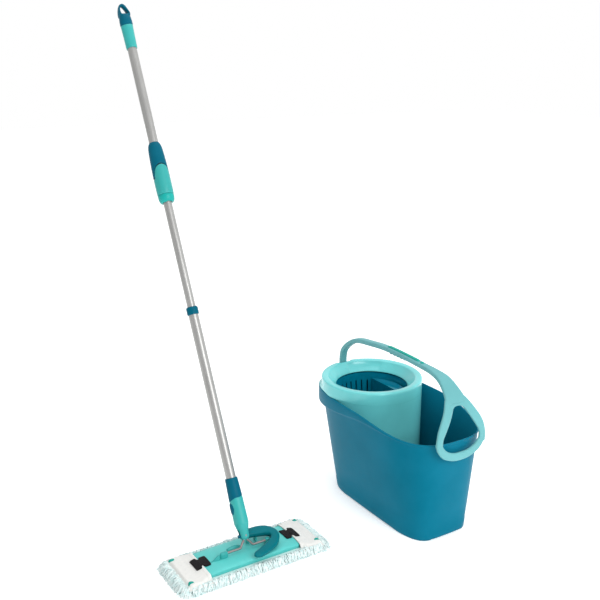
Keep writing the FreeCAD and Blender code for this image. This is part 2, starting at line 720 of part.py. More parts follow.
def make_lever():
    """Crescent hook that swings up off the plate and holds it upright for spinning."""
    outer = smooth_edge([(12, 2), (48, 2), (74, -14), (74, -40), (50, -68), (14, -83), (-12, -79)])
    inner = smooth_edge([(-12, -68), (14, -59), (44, -44), (60, -28), (42, -25), (12, -16)])
    left = Part.LineSegment(Vector(12, -16, 0), Vector(12, 2, 0)).toShape()
    tip = Part.Arc(Vector(-12, -79, 0), Vector(-17.5, -73, 0), Vector(-12, -68, 0)).toShape()
    outline = Part.Face(Part.Wire(Part.__sortEdges__([outer, tip, inner, left])))
    thick = cell("lever_thick")
    crescent = outline.extrude(Vector(0, 0, -thick))
    crescent.Placement = Placement(Vector(0, 20, cell("lever_z") + 7), Rotation(Vector(1, 0, 0), 12))
    pin_y, pin_z = cell("lever_y"), cell("lever_z")
    barrel = Part.makeCylinder(6.5, 16.4, Vector(11.3, pin_y, pin_z), Vector(1, 0, 0))
    ear_room = Part.makeCylinder(6.6, 4.2, Vector(27.7, pin_y, pin_z), Vector(1, 0, 0))
    crescent = crescent.cut(ear_room).cut(Part.makeBox(4.2, 13.2, 20, Vector(27.7, pin_y - 6.6, pin_z - 20)))
    crescent = crescent.cut(Part.makeBox(20, 40, 40, Vector(-8.7, 0, 30)))
    hole = Part.makeCylinder(2 + cell("run_gap"), 40, Vector(0, pin_y, pin_z), Vector(1, 0, 0))
    return crescent.fuse(barrel).cut(hole).removeSplitter()


keep("hook_lever", feature("HookLever", make_lever()), mop_frame)


# ---------------------------------------------------------------- universal joint

def make_wire():
    """Bent steel wire: an axle along X with a raised crank in the middle."""
    half, rise = cell("crank_half"), cell("crank")
    left, right = -62.0, 54.0
    path = rounded_path([
        Vector(left, 0, 0), Vector(-half, 0, 0), Vector(0, 0, rise - 4.5), Vector(half, 0, 0),
        Vector(right, 0, 0)], [4, 3, 4])
    return rod_along(path, cell("wire_radius"))


keep("wire_yoke", feature("WireYoke", make_wire()), yoke_frame)
hub_blank = cylinder("HubBarrel", size.hub_barrel, 8, 0, -4, 0, "y")
hub_ear = cylinder("HubEar", 3.6, 15, -15, 0, 0, "x")
hub_wire = feature("HubWireRoom", make_wire())
hub_wire.Placement = Placement(Vector(0, 0, -cell("crank")), Rotation())
hub_hole = cylinder("HubHole", 2, 20, 0, -10, 0, "y")
keep("yoke_hub", cut("YokeHub", fuse("HubBody", hub_blank, hub_ear), hub_wire, hub_hole), pole_frame)


def make_socket():
    """Click socket: a cone that forks over the yoke hub, with a bore for the spigot."""
    blank = turned("SocketBlank", [
        (0, -9), (7, -9), (10.5, -5), (11.5, 8), (size.socket_radius, 27),
        (size.collar_low_radius, size.socket_top),
        (11, size.socket_top), (11, 41), (0, 41)])
    slot = box("ForkSlot", 60, size.fork_gap, 24, 0, 0, -10)
    pin_hole = cylinder("ForkPinHole", 2, 40, 0, -20, 0, "y")
    window = cylinder("ButtonWindow", size.button_radius + 0.4, 20, -20, 0, size.button_station, "x")
    return cut("ClickSocket", blank, slot, pin_hole, window)


keep("click_socket", make_socket(), pole_frame)
keep("fork_pin", cylinder("ForkPin", size.pin_radius - 1.05, 21, 0, -10.5, 0, "y"), pole_frame)


def make_socket_collar():
    """Upper half of the socket, with the spigot that clicks into the lower half."""
    body = turned("SocketCollarBody", [
        (0, 42), (10.9, 42), (10.9, size.socket_top), (size.collar_low_radius, size.socket_top),
        (size.collar_radius, size.collar_top),
        (size.lower_tube_radius, size.collar_top), (size.lower_tube_radius, size.lower_tube_bottom),
        (9.5, size.lower_tube_bottom), (9.5, 76), (0, 76)])
    pocket = cylinder("ButtonPocket", size.button_radius + 0.4, 11, -12, 0, size.button_station, "x")
    return cut("SocketCollar", body, pocket)


keep("socket_collar", make_socket_collar(), pole_frame)
button_cap = cylinder("ButtonCap", size.button_radius, 6.2, -17.4, 0, size.button_station, "x")
button_stem = cylinder("ButtonStem", size.button_radius - 1.2, 6, -12, 0, size.button_station, "x")
keep("release_button", fuse("ReleaseButton", button_cap, button_stem), pole_frame)


def make_spring():
    """Bowed leaf spring behind the release button."""
    crown, foot, half, thick, wide = -5.5, -1.5, 4.2, 0.4, 4.0
    corners = [Vector(foot, 0, -half), Vector(foot, 0, half), Vector(foot + thick, 0, half),
               Vector(foot + thick, 0, -half)]
    outer = Part.Arc(corners[0], Vector(crown, 0, 0), corners[1]).toShape()
    inner = Part.Arc(corners[2], Vector(crown + thick, 0, 0), corners[3]).toShape()
    ends = [Part.makeLine(corners[1], corners[2]), Part.makeLine(corners[3], corners[0])]
    leaf = Part.Face(Part.Wire([outer, ends[0], inner, ends[1]])).extrude(Vector(0, wide, 0))
    leaf.translate(Vector(0, -wide / 2, cell("button_station")))
    return leaf


keep("button_spring", feature("ButtonSpring", make_spring()), pole_frame)


# ---------------------------------------------------------------- pole, lower half and spin drive

keep("lower_tube", ring("LowerTube", size.lower_tube_radius, size.lower_tube_radius - size.tube_wall,
                        size.lower_tube_bottom, size.lower_tube_top), pole_frame)
tube_bore = size.lower_tube_radius - size.tube_wall
keep("pole_ring", turned("PoleRing", [
    (size.lower_tube_radius, size.ring_bottom), (size.ring_outer, size.ring_bottom + 1.5),
    (size.ring_outer, size.ring_station_top - 2), (size.ring_outer - 1.5, size.ring_station_top),
    (size.mid_tube_radius + 0.35, size.ring_station_top),
    (size.mid_tube_radius + 0.35, size.lower_tube_top + 0.3),
    (size.lower_tube_radius, size.lower_tube_top + 0.3)]), pole_frame)
nut_body = ring("NutBody", tube_bore, 5.3, size.nut_station - size.nut_long / 2,
    size.nut_station + size.nut_long / 2)
dowel_gap = size.strip_thick / 2 + 1.2 + 0.45
nut_holes = []
dowels = []
for side in (-1, 1):
    name = "Front" if side < 0 else "Back"
    nut_holes.append(cylinder(name + "DowelHole", 1.2, 21, -10.5, dowel_gap * side, size.nut_station, "x"))
    dowels.append(cylinder(name + "Dowel", 1.2, 17, -8.5, dowel_gap * side, size.nut_station, "x"))
keep("drive_nut", cut("DriveNut", nut_body, *nut_holes), pole_frame)
keep("nut_dowels", compound("NutDowels", *dowels), pole_frame)
keep("slide_bush", ring("SlideBush", tube_bore - size.run_gap, size.mid_tube_radius + size.run_gap,
                        size.lower_tube_top - 34, size.lower_tube_top - 1), pole_frame)

pin_holes = []
stop_pins = []
pin_reach = size.mid_tube_radius + 0.6
for side in (-1, 1):
    name = "Front" if side < 0 else "Back"
    start = pin_reach - 2.4 if side > 0 else -pin_reach
    pin_holes.append(cylinder(name + "StopHole", 1.2, 6, start - 1.8, 0, size.stop_station, "x"))
    stop_pins.append(cylinder(name + "StopPin", 1.2, 2.4, start, 0, size.stop_station, "x"))
keep("mid_tube", cut("MidTube", ring("MidTubeBlank", size.mid_tube_radius,
    size.mid_tube_radius - size.tube_wall,
                                     size.mid_tube_bottom, size.mid_tube_top), *pin_holes), pole_frame)
keep("strip_plug", turned("StripPlug", [
    (0, size.mid_tube_bottom), (size.mid_tube_radius - size.tube_wall, size.mid_tube_bottom),
    (size.mid_tube_radius - size.tube_wall, size.mid_tube_bottom + 28), (0, size.mid_tube_bottom + 28)]),
    pole_frame)


def make_strip():
    """Twisted flat strip that turns the pole when the handle is pumped through the nut."""
    low, high, lead = cell("strip_bottom"), cell("mid_tube_bottom") - 0.05, cell("strip_lead")
    wide, thick = cell("strip_wide") / 2, cell("strip_thick") / 2
    spine = Part.Wire(Part.LineSegment(Vector(0, 0, low), Vector(0, 0, high)).toShape())
    guide = Part.Wire(Part.makeHelix(lead, high - low, wide))
    start_angle = 360 * (low - cell("nut_station")) / lead
    guide.Placement = Placement(Vector(0, 0, low), Rotation(Vector(0, 0, 1), start_angle))
    corners = [Vector(-wide, -thick, low), Vector(wide, -thick, low), Vector(wide, thick, low),
        Vector(-wide, thick, low)]
    section = Part.makePolygon(corners + [corners[0]])
    section.rotate(Vector(), Vector(0, 0, 1), start_angle)
    sweep = Part.BRepOffsetAPI.MakePipeShell(spine)
    sweep.setAuxiliarySpine(guide, True, 0)
    sweep.add(section)
    sweep.build()
    sweep.makeSolid()
    return sweep.shape()


keep("drive_strip", feature("DriveStrip", make_strip()), pole_frame)
keep("stop_pins", compound("StopPins", *stop_pins), pole_frame)


# ---------------------------------------------------------------- pole, upper half and grip

keep("upper_tube", ring("UpperTube", size.upper_tube_radius, size.upper_tube_radius - size.tube_wall,
                        size.upper_tube_bottom, size.upper_tube_top), pole_frame)
keep("clamp_collet", ring("ClampCollet", 13.6, size.mid_tube_radius + size.run_gap, size.grip_seam - 10,
                          size.upper_tube_bottom - 0.1), pole_frame)
keep("grip_upper_shell", turned("GripUpperShell", [
    (13.6, size.grip_seam), (size.grip_radius, size.grip_seam),
    (size.grip_radius - 0.6, size.grip_seam + 24),
    (16.5, size.grip_top - 26), (14.6, size.grip_top - 8), (12.4, size.grip_top),
    (size.upper_tube_radius, size.grip_top), (size.upper_tube_radius, size.upper_tube_bottom),
    (13.6, size.upper_tube_bottom)]), pole_frame)
keep("grip_lock_sleeve", turned("GripLockSleeve", [
    (10.6, size.end_ring_top), (size.grip_radius - 0.8, size.end_ring_top),
    (size.grip_radius, size.grip_seam - 12),
    (size.grip_radius, size.grip_seam - 0.5), (14.2, size.grip_seam - 0.5), (14.2, size.grip_seam - 20),
    (10.6, size.grip_seam - 20)]), pole_frame)
keep("grip_end_ring", turned("GripEndRing", [
    (10.6, size.grip_bottom), (size.grip_radius - 5, size.grip_bottom),
    (size.grip_radius - 2, size.grip_bottom + 5),
    (size.grip_radius - 0.8, size.end_ring_top), (10.6, size.end_ring_top)]), pole_frame)
keep("top_sleeve", turned("TopSleeve", [
    (size.upper_tube_radius, size.sleeve_bottom), (12.6, size.sleeve_bottom),
    (12.8, size.sleeve_bottom + 12),
    (14.2, size.sleeve_top), (0, size.sleeve_top), (0, size.upper_tube_top),
    (size.upper_tube_radius, size.upper_tube_top)]), pole_frame)


def make_hang_cap():
    """Rounded end cap with a teardrop hanging hole."""
    radius = size.cap_radius
    base = cylinder("CapBase", radius, 14, 0, 0, size.sleeve_top)
    dome = cylinder("CapDome", radius, 17, 0, -8.5, size.cap_top - radius, "y")
    web = box("CapWeb", radius * 2, 17, 24, 0, 0, size.sleeve_top + 13)
    low_hole = cylinder("CapLowHole", 3.6, 40, -3, -20, size.cap_top - 25, "y")
    high_hole = cylinder("CapHighHole", 5.6, 40, 2, -20, size.cap_top - 16, "y")
    return cut("HangCap", fuse("CapBlank", base, dome, web), low_hole, high_hole)


keep("hang_cap", make_hang_cap(), pole_frame)

# ---------------------------------------------------------------- checks and files

doc.recompute()
os.makedirs("parts", exist_ok=True)
failed = [item.Name for item in doc.Objects if "Invalid" in item.State or "Error" in item.State]
if failed:
    raise RuntimeError("objects failed to build: " + ", ".join(failed))
for node, item in sub_parts:
    if item.Shape.isNull() or not item.Shape.isValid():
        raise RuntimeError(node + " has no valid shape")
for node, item in sub_parts:
    item.Shape.exportStep("parts/" + node + ".step")

whole = FreeCAD.BoundBox()
for node, item in sub_parts:
    whole.add(item.Shape.BoundBox)
    print("%-20s %8.1f mm3  %d solids" % (node, item.Shape.Volume, len(item.Shape.Solids)))
print("box x %.1f..%.1f y %.1f..%.1f z %.1f..%.1f" % (
    whole.XMin, whole.XMax, whole.YMin, whole.YMax, whole.ZMin, whole.ZMax))
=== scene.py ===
import json
import math
import random

import bmesh
import bpy
import numpy as np
from mathutils import Matrix, Vector


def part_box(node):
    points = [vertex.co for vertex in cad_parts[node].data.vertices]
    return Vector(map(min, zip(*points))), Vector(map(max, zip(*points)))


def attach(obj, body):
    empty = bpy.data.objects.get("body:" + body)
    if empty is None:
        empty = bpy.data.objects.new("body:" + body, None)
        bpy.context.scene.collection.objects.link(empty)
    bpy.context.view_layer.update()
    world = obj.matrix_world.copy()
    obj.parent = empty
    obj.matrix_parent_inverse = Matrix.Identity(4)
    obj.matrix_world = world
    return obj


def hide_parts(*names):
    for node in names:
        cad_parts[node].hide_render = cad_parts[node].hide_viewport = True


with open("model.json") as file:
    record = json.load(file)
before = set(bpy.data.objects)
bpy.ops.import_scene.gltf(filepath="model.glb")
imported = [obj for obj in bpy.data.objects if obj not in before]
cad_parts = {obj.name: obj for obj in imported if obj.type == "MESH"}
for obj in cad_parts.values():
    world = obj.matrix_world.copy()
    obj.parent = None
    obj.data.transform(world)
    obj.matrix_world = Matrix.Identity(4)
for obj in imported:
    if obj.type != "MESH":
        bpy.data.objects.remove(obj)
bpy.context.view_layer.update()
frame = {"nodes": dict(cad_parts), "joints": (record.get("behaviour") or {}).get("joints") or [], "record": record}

MM = 0.001


# ---------------------------------------------------------------- places worked out from the frame

def joint(name):
    return [item for item in frame["joints"] if item["name"] == name][0]


spin_centre = Vector(joint("basket_spin")["pos_m"])
SPIN_OFFSET = 95.2 * MM
bucket_origin = Vector((spin_centre.x, spin_centre.y - SPIN_OFFSET, 0))
handle_hinge = Vector(joint("handle_swing")["pos_m"])
pad_low, pad_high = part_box("mop_pad")
mop_origin = Vector(((pad_low.x + pad_high.x) / 2, (pad_low.y + pad_high.y) / 2, 0))
pole_foot = Vector(joint("pole_side_swing")["pos_m"])
pole_axis = Vector(joint("pump")["axis"]).normalized()
POLE_LEAN = math.atan2(pole_axis.y, pole_axis.z)
to_pole = Matrix.Translation(pole_foot) @ Matrix.Rotation(-POLE_LEAN, 4, "X")
to_bucket = Matrix.Translation(bucket_origin)
to_mop = Matrix.Translation(mop_origin)


# ---------------------------------------------------------------- node helpers

def new_material(name):
    material = bpy.data.materials.new(name)
    material.use_nodes = True
    nodes = material.node_tree.nodes
    return material, nodes, material.node_tree.links, nodes["Principled BSDF"]


def add_noise(nodes, links, coordinates, scale, detail=4.0, roughness=0.55):
    noise = nodes.new("ShaderNodeTexNoise")
    noise.inputs["Scale"].default_value = scale
    noise.inputs["Detail"].default_value = detail
    noise.inputs["Roughness"].default_value = roughness
    links.new(coordinates, noise.inputs["Vector"])
    return noise


def add_ramp(nodes, links, value, stops):
    ramp = nodes.new("ShaderNodeValToRGB")
    while len(ramp.color_ramp.elements) < len(stops):
        ramp.color_ramp.elements.new(0.5)
    for element, (place, colour) in zip(ramp.color_ramp.elements, stops):
        element.position = place
        element.color = (*colour, 1.0)
    links.new(value, ramp.inputs["Fac"])
    return ramp


def add_bump(nodes, links, height, strength, distance, normal=None):
    bump = nodes.new("ShaderNodeBump")
    bump.inputs["Strength"].default_value = strength
    bump.inputs["Distance"].default_value = distance
    links.new(height, bump.inputs["Height"])
    if normal is not None:
        links.new(normal, bump.inputs["Normal"])
    return bump


def grey(value):
    return (value, value, value)


def mixed(a, b, share):
    return tuple(x + (y - x) * share for x, y in zip(a, b))


def moulded_plastic(name, colour, roughness=0.34, coat=0.25, variation=0.06, grain=0.25, shine=0.3):
    """Injection-moulded plastic: soft flow marks, a fine eroded grain and handling scuffs."""
    material, nodes, links, shader = new_material(name)
    place = nodes.new("ShaderNodeTexCoord").outputs["Object"]
    flow = add_noise(nodes, links, place, 9.0, 3.0)
    darker = tuple(max(0.0, c * (1 - variation)) for c in colour)
    lighter = tuple(min(1.0, c * (1 + variation) + 0.004) for c in colour)
    tint = add_ramp(nodes, links, flow.outputs["Fac"], [(0.32, darker), (0.68, lighter)])
    links.new(tint.outputs["Color"], shader.inputs["Base Color"])
    scuff = add_noise(nodes, links, place, 60.0, 6.0, 0.7)
    wear = add_ramp(nodes, links, scuff.outputs["Fac"],
                    [(0.35, grey(roughness * 0.93)), (0.72, grey(min(1.0, roughness * 1.1)))])
    links.new(wear.outputs["Color"], shader.inputs["Roughness"])
    fine = add_noise(nodes, links, place, 1800.0, 2.0)
    ripple = add_noise(nodes, links, place, 26.0, 2.0)
    first = add_bump(nodes, links, ripple.outputs["Fac"], 0.03, 0.001)
    second = add_bump(nodes, links, fine.outputs["Fac"], grain, 0.00005, first.outputs["Normal"])
    links.new(second.outputs["Normal"], shader.inputs["Normal"])
    shader.inputs["Coat Weight"].default_value = coat
    shader.inputs["Coat Roughness"].default_value = 0.18
    shader.inputs["Specular IOR Level"].default_value = shine
    shader.inputs["IOR"].default_value = 1.49
    return material


def drawn_tube(name, colour):
    """Brushed and lacquered tube: fine lengthwise drawing lines and faint cloudy patches."""
    material, nodes, links, shader = new_material(name)
    place = nodes.new("ShaderNodeTexCoord").outputs["Object"]
    turn = nodes.new("ShaderNodeMapping")
    turn.vector_type = "POINT"
    turn.inputs["Rotation"].default_value = (POLE_LEAN, 0, 0)
    links.new(place, turn.inputs["Vector"])
    stretch = nodes.new("ShaderNodeMapping")
    stretch.inputs["Scale"].default_value = (1.0, 1.0, 0.012)
    links.new(turn.outputs["Vector"], stretch.inputs["Vector"])
    lines = add_noise(nodes, links, stretch.outputs["Vector"], 1400.0, 5.0, 0.65)
    clouds = add_noise(nodes, links, place, 14.0, 3.0)
    tone = add_ramp(nodes, links, lines.outputs["Fac"], [(0.3, mixed(colour, (0, 0, 0), 0.16)),
                                                         (0.7, mixed(colour, (1, 1, 1), 0.10))])
    patch = add_ramp(nodes, links, clouds.outputs["Fac"], [(0.35, grey(0.93)), (0.7, grey(1.0))])
    blend = nodes.new("ShaderNodeMix")
    blend.data_type = "RGBA"
    blend.blend_type = "MULTIPLY"
    blend.inputs["Factor"].default_value = 1.0
    links.new(tone.outputs["Color"], blend.inputs["A"])
    links.new(patch.outputs["Color"], blend.inputs["B"])
    links.new(blend.outputs["Result"], shader.inputs["Base Color"])
    rough = add_ramp(nodes, links, lines.outputs["Fac"], [(0.2, grey(0.30)), (0.8, grey(0.46))])
    links.new(rough.outputs["Color"], shader.inputs["Roughness"])
    bump = add_bump(nodes, links, lines.outputs["Fac"], 0.25, 0.00004)
    links.new(bump.outputs["Normal"], shader.inputs["Normal"])
    shader.inputs["Metallic"].default_value = 0.55
    shader.inputs["Coat Weight"].default_value = 0.15
    return material


def bright_steel(name, colour, roughness=0.28):
    """Zinc-plated wire and pins with small dull spots."""
    material, nodes, links, shader = new_material(name)
    place = nodes.new("ShaderNodeTexCoord").outputs["Object"]
    spots = add_noise(nodes, links, place, 240.0, 5.0, 0.7)
    tone = add_ramp(nodes, links, spots.outputs["Fac"], [(0.35, mixed(colour, (0.1, 0.08, 0.07), 0.25)),
                                                         (0.65, colour)])
    links.new(tone.outputs["Color"], shader.inputs["Base Color"])
    rough = add_ramp(nodes, links, spots.outputs["Fac"],
        [(0.3, grey(roughness + 0.18)), (0.7, grey(roughness))])
    links.new(rough.outputs["Color"], shader.inputs["Roughness"])
    shader.inputs["Metallic"].default_value = 0.9
    return material


def clear_plastic(name, colour):
    """Tinted see-through moulding for the spin basket."""
    material, nodes, links, shader = new_material(name)
    place = nodes.new("ShaderNodeTexCoord").outputs["Object"]
    flow = add_noise(nodes, links, place, 22.0, 3.0)
    tint = add_ramp(nodes, links, flow.outputs["Fac"], [(0.3, mixed(colour, (0, 0, 0), 0.2)), (0.7, colour)])
    links.new(tint.outputs["Color"], shader.inputs["Base Color"])
    swirl = add_noise(nodes, links, place, 60.0, 3.0)
    bump = add_bump(nodes, links, swirl.outputs["Fac"], 0.1, 0.001)
    links.new(bump.outputs["Normal"], shader.inputs["Normal"])
    shader.inputs["Roughness"].default_value = 0.12
    shader.inputs["Transmission Weight"].default_value = 0.25
    shader.inputs["IOR"].default_value = 1.49
    shader.inputs["Coat Weight"].default_value = 0.4
    return material


def woven_cloth(name, colour, thread, sheen=0.4, roughness=0.85):
    """Tight plain weave with thread relief, slubs and a soft sheen."""
    material, nodes, links, shader = new_material(name)
    place = nodes.new("ShaderNodeTexCoord").outputs["Object"]
    heights = []
    for direction in ("X", "Y"):
        wave = nodes.new("ShaderNodeTexWave")
        wave.bands_direction = direction
        wave.inputs["Scale"].default_value = thread
        wave.inputs["Distortion"].default_value = 0.6
        wave.inputs["Detail"].default_value = 1.0
        wave.inputs["Detail Scale"].default_value = 2.0
        links.new(place, wave.inputs["Vector"])
        heights.append(wave.outputs["Fac"])
    weave = nodes.new("ShaderNodeMath")
    weave.operation = "MULTIPLY"
    links.new(heights[0], weave.inputs[0])
    links.new(heights[1], weave.inputs[1])
    slub = add_noise(nodes, links, place, 90.0, 5.0, 0.7)
    tone = add_ramp(nodes, links, slub.outputs["Fac"],
        [(0.3, mixed(colour, (0.45, 0.5, 0.5), 0.22)), (0.68, colour)])
    links.new(tone.outputs["Color"], shader.inputs["Base Color"])
    cloud = add_bump(nodes, links, slub.outputs["Fac"], 0.4, 0.0008)
    relief = add_bump(nodes, links, weave.outputs["Value"], 0.6, 0.0003, cloud.outputs["Normal"])
    links.new(relief.outputs["Normal"], shader.inputs["Normal"])
    shader.inputs["Roughness"].default_value = roughness
    shader.inputs["Sheen Weight"].default_value = sheen
    shader.inputs["Sheen Roughness"].default_value = 0.5
    return material


def fibre(name, colour, shade):
    """Microfibre strand: pale fibre with painted aqua shade spread in random clumps, and a velvet sheen."""
    material, nodes, links, shader = new_material(name)
    place = nodes.new("ShaderNodeTexCoord").outputs["Object"]
    clump = add_noise(nodes, links, place, 130.0, 4.0, 0.6)
    # The shade colour is painted shade between strands, laid in random noise clumps.
    tone = add_ramp(nodes, links, clump.outputs["Fac"], [(0.33, shade), (0.62, colour)])
    links.new(tone.outputs["Color"], shader.inputs["Base Color"])
    fuzz = add_noise(nodes, links, place, 2200.0, 3.0)
    bump = add_bump(nodes, links, fuzz.outputs["Fac"], 0.5, 0.0002)
    links.new(bump.outputs["Normal"], shader.inputs["Normal"])
    shader.inputs["Roughness"].default_value = 0.9
    shader.inputs["Sheen Weight"].default_value = 0.5
    shader.inputs["Subsurface Weight"].default_value = 0.15
    shader.inputs["Subsurface Radius"].default_value = (0.004, 0.004, 0.004)
    return material


def black_webbing(name):
    """Black ribbed elastic webbing."""
    material, nodes, links, shader = new_material(name)
    place = nodes.new("ShaderNodeTexCoord").outputs["Object"]
    rib = nodes.new("ShaderNodeTexWave")
    rib.bands_direction = "Y"
    rib.inputs["Scale"].default_value = 260.0
    rib.inputs["Distortion"].default_value = 0.4
    links.new(place, rib.inputs["Vector"])
    tone = add_ramp(nodes, links, rib.outputs["Fac"],
        [(0.2, (0.006, 0.005, 0.006)), (0.8, (0.016, 0.013, 0.015))])
    links.new(tone.outputs["Color"], shader.inputs["Base Color"])
    bump = add_bump(nodes, links, rib.outputs["Fac"], 0.7, 0.0004)
    links.new(bump.outputs["Normal"], shader.inputs["Normal"])
    shader.inputs["Roughness"].default_value = 0.7
    shader.inputs["Specular IOR Level"].default_value = 0.12
    return material


PETROL = (0.0, 0.15, 0.235)
TURQUOISE = (0.03, 0.36, 0.345)
# The spin housing's turquoise is set lighter than the turquoise plastic: painted light that makes up for the shade
# the housing gets inside the bucket.
HOUSING_PAINTED_LIGHT = (0.14, 0.60, 0.61)
AQUA = (0.13, 0.39, 0.41)
TEAL = (0.0, 0.335, 0.275)

petrol = moulded_plastic("petrol_plastic", PETROL, roughness=0.36, coat=0.0, shine=0.04)
petrol_small = moulded_plastic("petrol_small_parts", (0.0, 0.105, 0.165), roughness=0.34, coat=0.0,
    shine=0.05)
turquoise = moulded_plastic("turquoise_plastic", TURQUOISE, roughness=0.42, coat=0.04)
# Lighter copy of the turquoise plastic for the spin housing: painted light.
housing_painted_light = moulded_plastic("housing_painted_light", HOUSING_PAINTED_LIGHT, roughness=0.24, coat=0.25, shine=0.4)
aqua = moulded_plastic("aqua_plastic", AQUA, roughness=0.45, coat=0.02, shine=0.2)
soft_teal = moulded_plastic("soft_teal_grip", TEAL, roughness=0.6, coat=0.0, grain=0.6)
tube_metal = drawn_tube("lacquered_tube", (0.39, 0.39, 0.38))
steel = bright_steel("zinc_plated_steel", (0.27, 0.25, 0.25), 0.36)
acetal = moulded_plastic("bearing_plastic", (0.80, 0.80, 0.76), roughness=0.4, coat=0.0)
clear_petrol = clear_plastic("clear_petrol", (0.0, 0.26, 0.40))
pocket_cloth = woven_cloth("pocket_cloth", (0.80, 0.79, 0.76), 420.0)
pad_cloth = woven_cloth("pad_cloth", (0.62, 0.82, 0.80), 300.0, sheen=0.6)
# The second colour is the painted shade of the fringe.
microfibre = fibre("microfibre", (0.84, 0.93, 0.92), (0.60, 0.80, 0.80))
webbing = black_webbing("black_webbing")
plate_plastic = moulded_plastic("plate_plastic", (0.09, 0.54, 0.515), roughness=0.38, coat=0.04)
petrol_lever = moulded_plastic("petrol_lever", (0.0, 0.145, 0.175), roughness=0.3, coat=0.0, shine=0.06)
# Near-black copy of the petrol for the ring seen in the grip's seam: painted shade of the gap.
petrol_gap_painted_shade = moulded_plastic("petrol_inner_ring_painted_shade", (0.0, 0.025, 0.04), roughness=0.45, coat=0.0)
teal_ring = moulded_plastic("teal_end_ring", (0.0, 0.36, 0.33), roughness=0.45, coat=0.05)
stitch_thread = moulded_plastic("stitch_thread", (0.78, 0.78, 0.75), roughness=0.8, coat=0.0)

CAD_LOOKS = {
    "petrol": petrol_small, "turquoise": turquoise, "aqua": aqua, "teal_soft": soft_teal,
    "petrol_clear": clear_petrol, "tube": tube_metal, "steel": steel, "acetal": acetal,
    "black_rubber": webbing, "pocket_cloth": pocket_cloth, "microfibre": microfibre, "pad_cloth": pad_cloth,
}


def dress_cad_nodes():
    """Give every CAD node that stays visible its finish and smooth shading between sharp edges."""
    slots = {part["node"]: part["material_slot"] for part in frame["record"]["subparts"]}
    for name, node in frame["nodes"].items():
        node.data.materials.clear()
        node.data.materials.append(CAD_LOOKS[slots[name]])
        node.data.polygons.foreach_set("use_smooth", [True] * len(node.data.polygons))
        mark_sharp(node.data, 32)


def mark_sharp(mesh, degrees):
    """Mark the edges that stay crisp, so the rest shade smoothly."""
    work = bmesh.new()
    work.from_mesh(mesh)
    limit = math.radians(degrees)
    for edge in work.edges:
        edge.smooth = len(edge.link_faces) != 2 or edge.calc_face_angle(0) < limit
    flags = [edge.smooth for edge in work.edges]
    work.free()
    attribute = mesh.attributes.get("sharp_edge") or mesh.attributes.new("sharp_edge", "BOOLEAN", "EDGE")
    attribute.data.foreach_set("value", [not flag for flag in flags])


# ---------------------------------------------------------------- mesh helpers

def mesh_piece(name, points, faces, material, body, slot, stands_for=(), turn=Matrix.Identity(4)):
    """A new smooth piece that rides on a body, with the given finish; its record slot is not used."""
    mesh = bpy.data.meshes.new(name)
    mesh.from_pydata([turn @ Vector(point) for point in points], [], faces)
    work = bmesh.new()
    work.from_mesh(mesh)
    bmesh.ops.recalc_face_normals(work, faces=work.faces)
    work.to_mesh(mesh)
    work.free()
    mesh.polygons.foreach_set("use_smooth", [True] * len(mesh.polygons))
    mesh.materials.append(material)
    piece = bpy.data.objects.new(name, mesh)
    bpy.context.scene.collection.objects.link(piece)
    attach(piece, body)
    if stands_for:
        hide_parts(*stands_for)
    return piece


def loft(rings, closed_around=True, cap_start=True, cap_end=True):
    """Points and faces of a skin over equal rings of points."""
    count = len(rings[0])
    points = [point for ring in rings for point in ring]
    faces = []
    last = count if closed_around else count - 1
    for level in range(len(rings) - 1):
        for index in range(last):
            after = (index + 1) % count
            faces.append((level * count + index, level * count + after,
                          (level + 1) * count + after, (level + 1) * count + index))
    if cap_start:
        faces.append(tuple(reversed(range(count))))
    if cap_end:
        faces.append(tuple(range((len(rings) - 1) * count, len(rings) * count)))
    return points, faces


def joined(*skins):
    """Several (points, faces) skins as one."""
    points, faces = [], []
    for skin_points, skin_faces in skins:
        offset = len(points)
        points.extend(skin_points)
        faces.extend(tuple(index + offset for index in face) for face in skin_faces)
    return points, faces


def circle_ring(radius, height, count=64):
    return [Vector((radius * math.cos(2 * math.pi * step / count),
        radius * math.sin(2 * math.pi * step / count),
                    height)) for step in range(count)]


def rounded_profile(corners, steps=4):
    """Corner points (across, along, radius) turned into a line with rounded corners."""
    line = [Vector(corners[0][:2])]
    for before, corner, after in zip(corners, corners[1:], corners[2:]):
        point = Vector(corner[:2])
        radius = corner[2] if len(corner) > 2 else 0.0
        if radius <= 0:
            line.append(point)
            continue
        start = point + (Vector(before[:2]) - point).normalized() * radius
        end = point + (Vector(after[:2]) - point).normalized() * radius
        for step in range(steps + 1):
            t = step / steps
            line.append(start * (1 - t) ** 2 + point * 2 * t * (1 - t) + end * t * t)
    line.append(Vector(corners[-1][:2]))
    return [(point.x, point.y) for point in line]


def superellipse(half_x, half_y, power, shift_y, height, count=128):
    ring = []
    for step in range(count):
        angle = 2 * math.pi * (step + 0.5) / count
        c, s = math.cos(angle), math.sin(angle)
        reach = (abs(c) ** power + abs(s) ** power) ** (-1 / power)
        ring.append(Vector((half_x * reach * c, half_y * reach * s + shift_y, height)))
    return ring


def smoothstep(t):
    t = max(0.0, min(1.0, t))
    return t * t * (3 - 2 * t)


def catmull(points, samples):
    """A smooth line through a few given points, evenly divided."""
    points = [Vector(point) for point in points]
    ends = [points[0] * 2 - points[1]] + points + [points[-1] * 2 - points[-2]]
    dense = []
    for a, b, c, d in zip(ends, ends[1:], ends[2:], ends[3:]):
        for step in range(12):
            t = step / 12
            dense.append(0.5 * ((2 * b) + (c - a) * t + (2 * a - 5 * b + 4 * c - d) * t * t
                                + (3 * b - a - 3 * c + d) * t ** 3))
    dense.append(points[-1])
    return divide(dense, samples)


